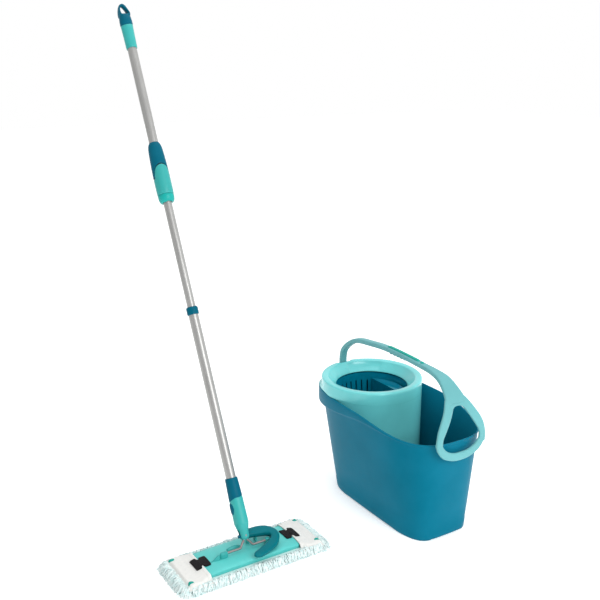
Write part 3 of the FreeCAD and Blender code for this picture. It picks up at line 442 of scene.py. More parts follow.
def divide(line, samples):
    """The same line with evenly spaced points."""
    lengths = [0.0]
    for before, after in zip(line, line[1:]):
        lengths.append(lengths[-1] + (after - before).length)
    result, index = [], 0
    for sample in range(samples):
        target = lengths[-1] * sample / (samples - 1)
        while index < len(lengths) - 2 and lengths[index + 1] < target:
            index += 1
        span = lengths[index + 1] - lengths[index] or 1.0
        result.append(line[index].lerp(line[index + 1], (target - lengths[index]) / span))
    return result


# ---------------------------------------------------------------- bucket

BASE_HALF, BASE_POWER, BASE_SHIFT = (89.7 * MM, 182.4 * MM), 4.3, -24.2 * MM
RIM_HALF, RIM_POWER = (131.2 * MM, 230.5 * MM), 2.9
WALL_TOP_HALF, WALL_TOP_SHIFT = (129.5 * MM, 224.9 * MM), -7.4 * MM
RIM_REAR, RIM_FRONT = 270.6 * MM, 251.7 * MM
TUB_SKIN = 2.5 * MM
FLOOR_TOP = 9.0 * MM


def rim_height(y):
    """The rim's top at a place along the bucket, in the bucket's own frame."""
    t = (-3.0 * MM - y) / (194.5 * MM)
    return RIM_REAR - (RIM_REAR - RIM_FRONT) * smoothstep(t)


def collar_depth(y):
    """How far the rear collar hangs below the rim."""
    t = (y + 150.0 * MM) / (340.0 * MM)
    return 4.5 * MM + 35.5 * MM * smoothstep(t)


def wall_ring(heights, inset=0.0, count=160):
    """A ring on the tapered wall, at a height given for each place along Y."""
    low = superellipse(BASE_HALF[0] - inset, BASE_HALF[1] - inset, BASE_POWER, BASE_SHIFT, 0, count)
    high = superellipse(WALL_TOP_HALF[0] - inset, WALL_TOP_HALF[1] - inset, RIM_POWER, WALL_TOP_SHIFT, 0,
        count)
    ring = []
    for bottom, top in zip(low, high):
        height = heights(top.y) if callable(heights) else heights
        point = bottom.lerp(top, height / RIM_REAR)
        ring.append(Vector((point.x, point.y, height)))
    return ring


def rim_ring(offset, drop, count=160):
    """A ring on the rim's outline, drawn in by offset and dropped below the rim."""
    flat = superellipse(RIM_HALF[0] - offset, RIM_HALF[1] - offset, RIM_POWER, 0, 0, count)
    return [Vector((p.x, p.y, rim_height(p.y) - (drop(p.y) if callable(drop) else drop))) for p in flat]


def foot_lift(point):
    """The base is cut away a little between its moulded feet."""
    along = smoothstep((abs(point.y + 22 * MM) - 96 * MM) / (4 * MM))
    across = smoothstep((abs(point.x) - 44 * MM) / (4 * MM))
    return 2.0 * MM * (1 - min(along, across))


def make_tub():
    ledge = 23 * MM
    base = wall_ring(0.0, 1.2 * MM)
    rings = [[Vector((p.x, p.y, foot_lift(p))) for p in base]]
    second = wall_ring(1.2 * MM, 0.0)
    rings.append([Vector((p.x, p.y, p.z + foot_lift(p))) for p in second])
    rings.append(wall_ring(6 * MM, -0.1 * MM))
    rings.append(wall_ring(ledge - 1 * MM, 0.1 * MM))
    rings.append(wall_ring(ledge, 0.6 * MM))
    for share in (0.2, 0.4, 0.6, 0.8, 0.97):
        rings.append(wall_ring(
            lambda y, s=share: ledge + (rim_height(y) - collar_depth(y) - ledge) * s, 0.3 * MM))
    rings.append(wall_ring(lambda y: rim_height(y) - collar_depth(y) - 0.8 * MM, 0.3 * MM))
    rings.append(mixed_ring(wall_ring(lambda y: rim_height(y) - collar_depth(y) + 0.2 * MM, 0.0),
                            rim_ring(0.0, collar_depth), 0.25))
    rings.append(rim_ring(1.6 * MM, lambda y: collar_depth(y)))
    rings.append(rim_ring(0.5 * MM, lambda y: collar_depth(y) * 0.96))
    rings.append(rim_ring(0.1 * MM, lambda y: collar_depth(y) * 0.86))
    rings.append(rim_ring(0.0, lambda y: collar_depth(y) * 0.5))
    rings.append(rim_ring(0.0, 1.6 * MM))
    rings.append(rim_ring(0.35 * MM, 0.6 * MM))
    rings.append(rim_ring(1.1 * MM, 0.05 * MM))
    rings.append(rim_ring(2.2 * MM, 0.0))
    rings.append(wall_ring(lambda y: rim_height(y) - 0.1 * MM, TUB_SKIN - 0.6 * MM))
    rings.append(wall_ring(lambda y: rim_height(y) - 0.9 * MM, TUB_SKIN))
    for height in (0.75, 0.5, 0.25, 0.08):
        rings.append(wall_ring(lambda y, s=height: FLOOR_TOP + (rim_height(y) - FLOOR_TOP) * s, TUB_SKIN))
    rings.append(wall_ring(FLOOR_TOP + 2.5 * MM, TUB_SKIN + 1 * MM))
    rings.append(wall_ring(FLOOR_TOP, TUB_SKIN + 5 * MM))
    skin = loft(rings, True, True, True)
    return mesh_piece("bucket_tub_shell", *skin, petrol, "bucket", "petrol", ["bucket_tub"], to_bucket)


def mixed_ring(first, second, share):
    return [a.lerp(b, share) for a, b in zip(first, second)]


def hinge_ears():
    """Two ears on the rear rim that hold the handle's hinge pin."""
    hinge = handle_hinge - bucket_origin
    skins = []
    for side in (-1, 1):
        outline = rounded_profile([
            (-5 * MM, -14.6 * MM), (-5.2 * MM, 3 * MM, 3 * MM), (0, 8.6 * MM, 4 * MM),
            (6.2 * MM, 4 * MM, 3 * MM),
            (6.8 * MM, -14.6 * MM)], 5)
        rings = []
        for x, shrink in ((-2.5, 0.9), (-2.0, 1.0), (2.0, 1.0), (2.5, 0.9)):
            rings.append([Vector((side * 12.5 * MM + x * MM, hinge.y + y * shrink, hinge.z + z * shrink))
                          for y, z in outline])
        skins.append(loft(rings))
    piece = mesh_piece("handle_hinge_ears", *joined(*skins), petrol, "bucket", "petrol", (), to_bucket)
    return piece


def ring_reach(angle):
    """Distance from the spin axis to the bucket's rim outline along one direction."""
    direction = Vector((math.sin(angle), math.cos(angle)))
    low, high = 0.05, 0.45
    for _ in range(40):
        middle = (low + high) / 2
        x, y = direction.x * middle, direction.y * middle + SPIN_OFFSET
        inside = (abs(x) / RIM_HALF[0]) ** RIM_POWER + (abs(y) / RIM_HALF[1]) ** RIM_POWER < 1
        low, high = (middle, high) if inside else (low, middle)
    return low


def wall_reach(angle, height, inset):
    """Distance from the spin axis to the tub's inner wall along one direction."""
    direction = Vector((math.sin(angle), math.cos(angle)))
    share = height / RIM_REAR
    half_x = BASE_HALF[0] + (WALL_TOP_HALF[0] - BASE_HALF[0]) * share - inset
    half_y = BASE_HALF[1] + (WALL_TOP_HALF[1] - BASE_HALF[1]) * share - inset
    power = BASE_POWER + (RIM_POWER - BASE_POWER) * share
    shift = BASE_SHIFT + (WALL_TOP_SHIFT - BASE_SHIFT) * share
    low, high = 0.0, 0.45
    for _ in range(40):
        middle = (low + high) / 2
        x, y = direction.x * middle, direction.y * middle + SPIN_OFFSET - shift
        inside = (abs(x) / half_x) ** power + (abs(y) / half_y) ** power < 1
        low, high = (middle, high) if inside else (low, middle)
    return low


RING_RADIUS, RING_TOP, DECK_BOTTOM = 126.7 * MM, 303.5 * MM, 271.2 * MM
MOUTH_RADIUS, MOUTH_TOP = 90.0 * MM, 281.5 * MM


def make_housing():
    """Funnel ring, flared foot over the rear rim and the curtain wall inside the bucket."""
    count = 180
    angles = [2 * math.pi * step / count for step in range(count)]

    def rear_share(angle):
        return smoothstep((math.cos(angle) + 0.05) / 0.35)

    def notch(angle):
        """Flat at the very rear that clears the handle's leg."""
        offset = math.sin(angle) * RING_RADIUS
        if math.cos(angle) < 0:
            return RING_RADIUS
        depth = 1 - smoothstep((abs(offset) - 15 * MM) / (8 * MM))
        return RING_RADIUS - depth * 7.4 * MM

    def facet(angle, depth):
        """Flat facet at the rear left of the funnel and a shallow panel at its rear right."""
        turn = math.degrees(math.atan2(math.sin(angle), math.cos(angle)))
        left = smoothstep((turn + 44) / 5) * (1 - smoothstep((turn + 3) / 4))
        right = smoothstep((turn + 1) / 2) * (1 - smoothstep((turn - 49) / 2))
        return depth * (1.9 * MM * right - 2.6 * MM * left)

    def place(radius, angle, height):
        return Vector((math.sin(angle) * radius, math.cos(angle) * radius + SPIN_OFFSET, height))

    rings = []
    lip = 17.0 * MM
    levels = [
        (lambda a: notch(a) - 3 * MM, DECK_BOTTOM + 0.1 * MM),
        (lambda a: notch(a) + (min(ring_reach(a) - 1.2 * MM,
        RING_RADIUS + 9 * MM) - RING_RADIUS) * rear_share(a)
         if abs(math.sin(a)) > 0.2 or math.cos(a) < 0 else notch(a), DECK_BOTTOM + 0.2 * MM),
        (lambda a: notch(a) + (min(ring_reach(a) - 1.2 * MM,
        RING_RADIUS + 9 * MM) - RING_RADIUS) * rear_share(a)
         if abs(math.sin(a)) > 0.2 or math.cos(a) < 0 else notch(a), DECK_BOTTOM + 1.8 * MM),
        (lambda a: notch(a) + 0.6 * MM * rear_share(a), DECK_BOTTOM + 5.0 * MM),
        (notch, DECK_BOTTOM + 8.5 * MM),
        (notch, RING_TOP - 6 * MM),
        (notch, RING_TOP - 3.2 * MM),
        (lambda a: notch(a) - 0.7 * MM, RING_TOP - 1.4 * MM),
        (lambda a: notch(a) - 2.2 * MM, RING_TOP - 0.3 * MM),
        (lambda a: notch(a) - 4.2 * MM, RING_TOP),
        (lambda a: RING_RADIUS - lip + 1.2 * MM, RING_TOP - 0.2 * MM),
        (lambda a: RING_RADIUS - lip - 0.8 * MM, RING_TOP - 1.4 * MM),
        (lambda a: RING_RADIUS - lip - 2.2 * MM + facet(a, 0.4), RING_TOP - 3.4 * MM),
        (lambda a: RING_RADIUS - lip - 4.2 * MM + facet(a, 1.0), RING_TOP - 6.4 * MM),
        (lambda a: MOUTH_RADIUS + 5.0 * MM + facet(a, 1.0), MOUTH_TOP + 5.4 * MM),
        (lambda a: MOUTH_RADIUS + 1.6 * MM + facet(a, 0.2), MOUTH_TOP + 1.2 * MM),
        (lambda a: MOUTH_RADIUS + 0.3 * MM, MOUTH_TOP - 0.4 * MM),
        (lambda a: MOUTH_RADIUS, MOUTH_TOP - 1.2 * MM),
        (lambda a: MOUTH_RADIUS + 0.1 * MM, MOUTH_TOP - 2.3 * MM),
        (lambda a: MOUTH_RADIUS + 3.4 * MM, MOUTH_TOP - 2.0 * MM),
        (lambda a: RING_RADIUS - lip - 1 * MM, RING_TOP - 7 * MM),
        (lambda a: notch(a) - 2.6 * MM, RING_TOP - 8 * MM),
        (lambda a: notch(a) - 2.8 * MM, DECK_BOTTOM + 4 * MM),
    ]
    for radius, height in levels:
        rings.append([place(radius(angle), angle, height) for angle in angles])
    rings.append(rings[0])
    ring_skin = loft(rings, True, False, False)

    half_count = 110
    span = math.radians(104)
    front = [math.pi - span + 2 * span * step / half_count for step in range(half_count + 1)]
    outer, inner = [], []
    for level in range(15):
        height = DECK_BOTTOM + 1.5 * MM - (DECK_BOTTOM + 1.5 * MM - 72 * MM) * level / 14
        outer.append([place(min(RING_RADIUS, wall_reach(a, min(height, RIM_REAR), 3.6 * MM)), a, height)
                      for a in front])
        inner.append([place(min(RING_RADIUS, wall_reach(a, min(height, RIM_REAR), 3.6 * MM)) - 2.2 * MM, a,
            height)
                      for a in front])
    curtain = loft(outer + inner[::-1] + [outer[0]], False, False, False)
    # The housing pieces take the lighter turquoise copy, which is painted light.
    mesh_piece("spin_housing_ring", *ring_skin, housing_painted_light, "bucket", "turquoise", ["spin_housing"],
        to_bucket)
    mesh_piece("spin_housing_curtain", *curtain, housing_painted_light, "bucket", "turquoise", ["spin_housing"],
        to_bucket)


# ---------------------------------------------------------------- carrying handle

def side_line():
    """The handle's centre line in its side view, from the hinge to the pouring bar."""
    return [Vector((0, y * MM, z * MM)) for y, z in (
        (223, 283), (222.6, 300), (221.5, 318), (217, 334), (206, 348), (190, 361), (168, 374), (140, 382),
        (98, 387), (55, 391.5), (13, 393), (-28, 392.4), (-67, 391), (-101, 389), (-138, 386.5), (-171, 379),
        (-197, 361), (-218, 337), (-229, 314), (-234.5, 290), (-238, 255), (-240.5, 205))]


def section_at(centre, along, half_wide, half_thick, power=3.2, count=28):
    """A soft rectangle across a line that runs in the YZ plane."""
    normal = Vector((1, 0, 0)).cross(along).normalized()
    ring = []
    for step in range(count):
        angle = 2 * math.pi * step / count
        c, s = math.cos(angle), math.sin(angle)
        reach = (abs(c) ** power + abs(s) ** power) ** (-1 / power)
        ring.append(centre + Vector((half_wide * reach * c, 0, 0)) + normal * half_thick * reach * s)
    return ring


def tangents(line):
    result = []
    for index in range(len(line)):
        before, after = line[max(0, index - 1)], line[min(len(line) - 1, index + 1)]
        result.append((after - before).normalized())
    return result


def strap_half_wide(y, z):
    """The strap is even, then flares into the pouring loop."""
    if y > -95 * MM or z < 300 * MM:
        return 9.0 * MM
    t = (-95 * MM - y) / (118 * MM)
    return 9.0 * MM + 19 * MM * max(0.0, min(1.0, t)) ** 2.2


def make_handle():
    line = catmull(side_line(), 150)
    strap = [point for point in line if point.y > -219 * MM]
    rings = []
    directions = tangents(strap)
    for point, along in zip(strap, directions):
        thick = (5.9 - 2.0 * smoothstep((-160 * MM - point.y) / (44 * MM))
                 - 0.9 * smoothstep((-208 * MM - point.y) / (11 * MM))) * MM
        rings.append(section_at(point, along, strap_half_wide(point.y, point.z), thick, 6.0))
    strap_skin = loft(rings)
    loop_skin = pouring_loop(line)
    hinge = handle_hinge - bucket_origin
    knuckle_profile = rounded_profile([(0.0032, -0.0090), (0.0072, -0.0090, 0.001), (0.0072, 0.0090, 0.001),
                                       (0.0032, 0.0090)], 4)
    turn = Matrix.Translation(hinge) @ Matrix.Rotation(math.pi / 2, 4, "Y")
    knuckle_rings = [circle_ring(radius, height, 40) for radius, height in knuckle_profile]
    knuckle_rings.append(knuckle_rings[0])
    points, faces = loft(knuckle_rings, True, False, False)
    knuckle = ([turn @ point for point in points], faces)
    return mesh_piece("carry_handle_shell", *joined(strap_skin, loop_skin, knuckle), aqua, "handle", "aqua",
                      ["carry_handle"], to_bucket)


def pouring_loop(line):
    """The rounded triangular loop at the pouring end, a flat band round an open window."""
    outer = rounded_profile([
        (0, 364), (26, 352, 12), (76, 276, 36), (70, 236, 26), (32, 210, 30), (0, 210)], 10)
    inner = rounded_profile([
        (0, 333), (13, 332, 8), (58, 262, 16), (50, 244, 14), (24, 229, 18), (0, 229)], 8)

    def whole(half):
        """Both halves of an outline as one closed loop of points."""
        return [Vector(point) * MM for point in half] + [Vector((-x, z)) * MM for x, z in half[-2:0:-1]]

    def cast(outline, angle):
        """Where a ray from inside the window meets an outline."""
        start = Vector((0, 262)) * MM
        ray = Vector((math.cos(angle), math.sin(angle)))
        for here, after in zip(outline, outline[1:] + outline[:1]):
            edge, offset = after - here, here - start
            turn = ray.cross(edge)
            if abs(turn) < 1e-12:
                continue
            reach, share = offset.cross(edge) / turn, offset.cross(ray) / turn
            if reach > 0 and -1e-6 <= share <= 1 + 1e-6:
                return start + ray * reach
        return start

    lower = [point for point in line if point.y < -150 * MM]

    def side_y(height):
        """Where the handle's side line is at a height; straight on below its last point."""
        for above, below in zip(lower, lower[1:]):
            if height >= below.z:
                break
        share = (height - above.z) / (below.z - above.z)
        return above.y + (below.y - above.y) * share

    def on_band(point):
        """Move a front-view point back onto the handle's side line."""
        slope = (side_y(point.y + 9 * MM) - side_y(point.y - 9 * MM)) / (18 * MM)
        return Vector((point.x, side_y(point.y), point.y)), Vector((0, -1, slope)).normalized()

    rings = []
    outer, inner = whole(outer), whole(inner)
    for step in range(120):
        angle = 2 * math.pi * (step + 0.5) / 120
        outside, inside = cast(outer, angle), cast(inner, angle)
        (a, normal), (b, other_normal) = on_band(outside), on_band(inside)
        normal = (normal + other_normal).normalized()
        centre = (a + b) / 2
        across = (a - b) / 2
        thick = (3.9 - 2.2 * smoothstep((centre.z - 338 * MM) / (14 * MM))) * MM
        ring = []
        for step in range(24):
            angle = 2 * math.pi * step / 24
            c, s = math.cos(angle), math.sin(angle)
            reach = (abs(c) ** 3.4 + abs(s) ** 3.4) ** (-1 / 3.4)
            ring.append(centre + across * reach * c + normal * thick * reach * s)
        rings.append(ring)
    rings.append(rings[0])
    return loft(rings, True, False, False)


def make_grip_strip():
    """Soft strip set into the top of the strap, with cross ribs and a round stud at its end."""
    line = [point for point in catmull(side_line(), 300) if -86 * MM < point.y < 31 * MM]
    rings = []
    for point, along in zip(line, tangents(line)):
        end = min(31 * MM - point.y, point.y + 86 * MM)
        swell = smoothstep(end / (5 * MM))
        rib = 0.25 * MM * math.cos(point.y / MM * 1.1)
        lift = Vector((0, 0, 5.9 * MM + (0.6 * MM + rib) * swell))
        rings.append(section_at(point + lift, along, 4.4 * MM * (0.55 + 0.45 * swell),
            2.2 * MM * (0.4 + 0.6 * swell)))
    strip = loft(rings)
    stud_line = [(0.0, 0.0), (4.4, 0.0), (4.6, 1.6), (4.2, 3.4), (3.0, 4.5), (1.2, 5.0), (0.01, 5.0)]
    stud_rings = [circle_ring(radius * MM + 1e-5, height * MM, 28) for radius, height in stud_line]
    points, faces = loft(stud_rings)
    stud = ([point + Vector((0, -96 * MM, 393.2 * MM)) for point in points], faces)
    return mesh_piece("handle_grip_insert", *joined(strip, stud), soft_teal, "handle", "teal_soft",
                      ["handle_grip_strip"], to_bucket)


def make_finger_ribs():
    """Four rounded finger ribs under the strap."""
    skins = []
    for index in range(5):
        y = (12 - index * 13) * MM
        rings = []
        for step in range(9):
            t = step / 8
            x = (-7.5 + 15 * t) * MM
            fall = 3.0 * MM * math.sin(math.pi * (0.15 + 0.7 * t)) ** 0.5
            ring = []
            for corner in range(16):
                angle = 2 * math.pi * corner / 16
                ring.append(Vector((x, y + 5.2 * MM * math.cos(angle), 387.6 * MM + fall * math.sin(angle))))
            rings.append(ring)
        skins.append(loft(rings))
    return mesh_piece("handle_finger_ribs", *joined(*skins), aqua, "handle", "aqua", (), to_bucket)


# ---------------------------------------------------------------- mop head

PLATE_HALF_WIDE = 47.0 * MM
PLATE_LOW = 12.6 * MM
POCKET_END = 167.4 * MM
POCKET_HALF_WIDE = 66.5 * MM


def plate_top(x, y):
    """Height of the plate's crowned top."""
    end = smoothstep((abs(x) - 70 * MM) / (44 * MM))
    crown = max(0.0, 1 - (y / (46 * MM)) ** 2)
    return (23.4 - 1.2 * end + (4.6 - 1.8 * end) * crown) * MM


def make_plate():
    """Crowned plate with sloping sides; the ends go under the pockets."""
    xs = [-112.6, -112.3, -111.2, -105, -96, -84, -70, -56, -40, -20, 0, 20, 40, 56, 70, 84, 96, 105, 111.2,
        112.3, 112.6]
    rings = []
    for x in xs:
        x *= MM
        shrink = max(0.0, (abs(x) - 111.2 * MM)) * 0.9
        ring = []
        half = PLATE_HALF_WIDE - shrink
        edge = 44.2 * MM - shrink
        for side in (-1, 1):
            count = 15
            for step in range(count):
                y = -edge + 2 * edge * step / (count - 1)
                if side > 0:
                    ring.append(Vector((x, y, plate_top(x, y) - shrink)))
                elif step == 0:
                    ring.append(Vector((x, half - 0.2 * MM, plate_top(x, edge) - 1.8 * MM)))
                    ring.append(Vector((x, half, plate_top(x, edge) - 4.5 * MM)))
                    ring.append(Vector((x, half + 0.4 * MM, PLATE_LOW + 1.4 * MM)))
                    ring.append(Vector((x, half - 0.6 * MM, PLATE_LOW)))
                elif step == count - 1:
                    ring.append(Vector((x, -half + 0.6 * MM, PLATE_LOW)))
                    ring.append(Vector((x, -half - 0.4 * MM, PLATE_LOW + 1.4 * MM)))
                    ring.append(Vector((x, -half, plate_top(x, edge) - 4.5 * MM)))
                    ring.append(Vector((x, -half + 0.2 * MM, plate_top(x, edge) - 1.8 * MM)))
        rings.append(ring)
    return mesh_piece("mop_plate_shell", *loft(rings), plate_plastic, "mop_head", "turquoise",
        ["mop_plate"], to_mop)


def pillow(centre, half, low, top, lean=0.0, power=3.0, levels=7, count=36):
    """A soft-edged block: superellipse levels that draw in towards the top."""
    rings = []
    for level in range(levels):
        t = level / (levels - 1)
        draw = 1 - 0.30 * t ** 5 - 0.04 * t
        height = low + (top - low) * math.sin(t * math.pi / 2)
        rings.append([Vector((centre[0] + point.x, centre[1] + point.y, height + lean * point.x))
                      for point in superellipse(half[0] * draw, half[1] * draw, power, 0, 0, count)])
    return loft(rings)


def make_saddles():
    """Two moulded blocks that hold the wire's ends, a ramp that rises to the left one and a low boss behind the
    wire.
    """
    skins = []
    for inner, outer in ((-51.0, -71.0), (42.5, 54.5)):
        centre = ((inner + outer) / 2 * MM, -12 * MM)
        half = (abs(outer - inner) / 2 * MM, 5.2 * MM)
        skins.append(pillow(centre, half, 22 * MM, 40 * MM, power=2.5))
    ramp = []
    for step in range(9):
        t = step / 8
        x = (-92 + 20 * t) * MM
        top = (27 + 11.0 * smoothstep(t)) * MM
        wide = (3.2 + 2.2 * t) * MM
        ramp.append([Vector((x, -12 * MM + wide * c, 22 * MM + (top - 22 * MM) * s)) for c, s in
                     [(math.cos(a), math.sin(a)) for a in [math.pi * k / 12 for k in range(13)]]])
    skins.append(loft(ramp))
    rest = []
    for step in range(11):
        t = step / 10
        x = (-44 + 32 * t) * MM
        top = (27 + 9.5 * math.sin(math.pi * (0.12 + 0.76 * t)) ** 0.6) * MM
        rest.append([Vector((x, 6.0 * MM + 5.5 * MM * c, 22 * MM + (top - 22 * MM) * s)) for c, s in
                     [(math.cos(a), math.sin(a)) for a in [math.pi * k / 12 for k in range(13)]]])
    skins.append(loft(rest))
    return mesh_piece("wire_saddles", *joined(*skins), turquoise, "mop_head", "turquoise", ["yoke_saddles"],
        to_mop)


def make_lever():
    """Crescent hook: a domed channel that narrows to a rounded tip."""
    tilt = Matrix.Translation(Vector((0, 20 * MM, 55 * MM))) @ Matrix.Rotation(math.radians(12), 4, "X")
    outer = catmull([Vector((x * MM, y * MM, 0)) for x, y in (
        (10, 3), (24, 4.5), (44, 3), (62, -4), (74, -18), (77, -32), (72, -48), (58, -63), (38, -74),
        (14, -82),
        (-6, -82))], 60)
    inner = catmull([Vector((x * MM, y * MM, 0)) for x, y in (
        (11, -15), (24, -17), (36, -20), (48, -23), (56, -28), (57, -35), (50, -43), (38, -51), (24, -57),
        (8, -64),
        (-8, -70))], 60)
    rings = []
    for index, (a, b) in enumerate(zip(outer, inner)):
        t = index / 59
        centre, across = (a + b) / 2, (a - b) / 2
        skirt = (11.5 - 4.5 * smoothstep((t - 0.35) / 0.6)) * MM
        dome = 1.6 * MM
        close = 1.0
        if t > 0.94:
            close = math.sqrt(max(0.04, 1 - ((t - 0.94) / 0.062) ** 2))
        across = across * close
        section = [(1, -skirt), (1, -skirt * 0.5), (1, -2.0 * MM), (0.94, -0.5 * MM), (0.78, 0.5 * MM),
                   (0.45, dome * 0.85), (0, dome), (-0.45, dome * 0.85), (-0.78, 0.5 * MM),
                   (-0.94, -0.5 * MM),
                   (-1, -2.0 * MM), (-1, -skirt * 0.5), (-1, -skirt), (-0.8, -skirt), (0.8, -skirt)]
        rings.append([centre + across * side + Vector((0, 0, lift * (0.6 + 0.4 * close))) for side,
            lift in section])
    points, faces = loft(rings)
    crescent = ([tilt @ point for point in points], faces)
    barrel = []
    for x, radius in ((11.4, 4.6), (11.6, 6.0), (12.4, 6.5), (26.6, 6.5), (27.4, 6.0), (27.6, 4.6)):
        barrel.append([Vector((x * MM, 11 * MM + radius * MM * math.cos(2 * math.pi * k / 32),
                               48 * MM + radius * MM * math.sin(2 * math.pi * k / 32))) for k in range(32)])
    return mesh_piece("hook_lever_shell", *joined(crescent, loft(barrel)), petrol_lever, "lever", "petrol",
                      ["hook_lever"], to_mop)


def pocket_height(x, y):
    """The pocket's cloth lies over the tongue and falls to the pad on three sides."""
    along = abs(x)
    mouth = smoothstep((along - 114 * MM) / (26 * MM))
    crown = max(0.0, 1 - (y / (POCKET_HALF_WIDE - 2 * MM)) ** 2)
    full = (20.4 + 1.4 * (1 - mouth) + 3.6 * (1 - mouth) * crown + 0.5 * crown) * MM
    shoulder = (57 + 8 * smoothstep((along - 116 * MM) / (22 * MM))) * MM
    edge_y = smoothstep((shoulder - abs(y)) / (9 * MM))
    edge_x = smoothstep((POCKET_END + 0.5 * MM - along) / (8 * MM))
    drop = min(1.0, edge_y) * min(1.0, edge_x)
    return 13.2 * MM + (full - 13.2 * MM) * drop ** 0.8


def make_pockets():
    """Cloth pockets over the plate's ends, with a hem at the mouth and a stitched border."""
    pieces = []
    for side, name in ((-1, "left"), (1, "right")):
        mouth_x, end_x = 112.4 * MM, POCKET_END + 1.0 * MM
        across, along = 49, 25
        grid, under = [], []
        for row in range(along):
            t = row / (along - 1)
            for column in range(across):
                y = (-1 + 2 * column / (across - 1)) * POCKET_HALF_WIDE
                bulge = 2.2 * MM * (1 - (y / POCKET_HALF_WIDE) ** 2) * (1 - t)
                x = mouth_x + bulge - 2.0 * MM * (1 - t) + (end_x - mouth_x) * t
                hem = 0.9 * MM if t < 0.12 else 0.0
                stitch = -0.35 * MM if 0.12 <= t < 0.17 else 0.0
                rim = min(POCKET_HALF_WIDE - abs(y), end_x - x)
                groove = -0.5 * MM if 4.4 * MM < rim < 6.6 * MM else 0.0
                height = pocket_height(x, y) + hem + stitch + groove
                grid.append(Vector((side * x, y, height)))
                under.append(Vector((side * x, y * 0.995, max(12.4 * MM, height - 1.5 * MM - hem))))
        faces = []
        for row in range(along - 1):
            for column in range(across - 1):
                a = row * across + column
                faces.append((a, a + 1, a + across + 1, a + across))
        total = len(grid)
        faces += [tuple(total + index for index in reversed(face)) for face in faces]
        border = [column for column in range(across)]
        border += [row * across + across - 1 for row in range(1, along)]
        border += [(along - 1) * across + column for column in range(across - 2, -1, -1)]
        border += [row * across for row in range(along - 2, 0, -1)]
        for index, point in enumerate(border):
            after = border[(index + 1) % len(border)]
            faces.append((point, total + point, total + after, after))
        piece = mesh_piece("pocket_" + name, grid + under, faces, pocket_cloth, "mop_head", "pocket_cloth",
                           ["pad_pockets"], to_mop)
        pieces.append(piece)
    return pieces


def stitch_run(start, end, lift, pitch=3.2 * MM):
    """Small raised stitches between two places on a pocket."""
    count = int((end - start).length / pitch)
    direction = (end - start).normalized()
    side = Vector((-direction.y, direction.x, 0))
    skins = []
    for index in range(count):
        middle = start + direction * (index + 0.5) * pitch
        rings = []
        for share, size in ((-1, 0.25), (-0.6, 0.8), (0, 1.0), (0.6, 0.8), (1, 0.25)):
            ring = []
            for corner in range(6):
                angle = math.pi * corner / 3
                point = middle + direction * share * 1.05 * MM + side * 0.32 * MM * size * math.cos(angle)
                height = pocket_height(point.x, point.y) + lift + 0.3 * MM * size * math.sin(angle)
                ring.append(Vector((point.x, point.y, height)))
            rings.append(ring)
        skins.append(loft(rings))
    return skins


def make_stitches():
    skins = []
    for side in (-1, 1):
        far, near = (POCKET_END - 4.5 * MM) * side, 118.5 * MM * side
        y = POCKET_HALF_WIDE - 5.5 * MM
        skins += stitch_run(Vector((near, -y, 0)), Vector((far, -y, 0)), 0.1 * MM)
        skins += stitch_run(Vector((near, y, 0)), Vector((far, y, 0)), 0.1 * MM)
        skins += stitch_run(Vector((far, -y, 0)), Vector((far, y, 0)), 0.1 * MM)
        skins += stitch_run(Vector((near, -y, 0)), Vector((near, y, 0)), 0.2 * MM)
    return mesh_piece("pocket_stitches", *joined(*skins), stitch_thread, "mop_head", "pocket_cloth", (),
        to_mop)


def make_eyelets():
    """Teal drain tongues that show through a cut near each pocket's outer corner."""
    skins = []
    for x, y, turn in ((-158, -51, 10), (157, -50, -20), (-158, 51, 170), (158, 50, 200)):
        rings = []
        for share, lift in ((1.25, -1.2), (1.25, 0.45), (1.1, 0.9), (0.3, 1.0)):
            ring = []
            for step in range(24):
                angle = 2 * math.pi * step / 24
                px, py = 5.2 * MM * math.cos(angle) * share, 5.2 * MM * math.sin(angle) * share
                py = max(py, -1.4 * MM * share)
                c, s = math.cos(math.radians(turn)), math.sin(math.radians(turn))
                place = Vector((x * MM + px * c - py * s, y * MM + px * s + py * c, 0))
                ring.append(Vector((place.x, place.y, pocket_height(place.x, place.y) + lift * MM)))
            rings.append(ring)
        skins.append(loft(rings))
    return mesh_piece("drain_tongues", *joined(*skins), soft_teal, "mop_head", "teal_soft", (), to_mop)


def surface_height(x, y):
    """The top that a strap lies on: plate inside the mouth, pocket outside it."""
    inside = plate_top(x, y)
    outside = pocket_height(x, y)
    share = smoothstep((abs(x) - 109 * MM) / (7 * MM))
    return inside + (outside - inside) * share + 1.0 * MM


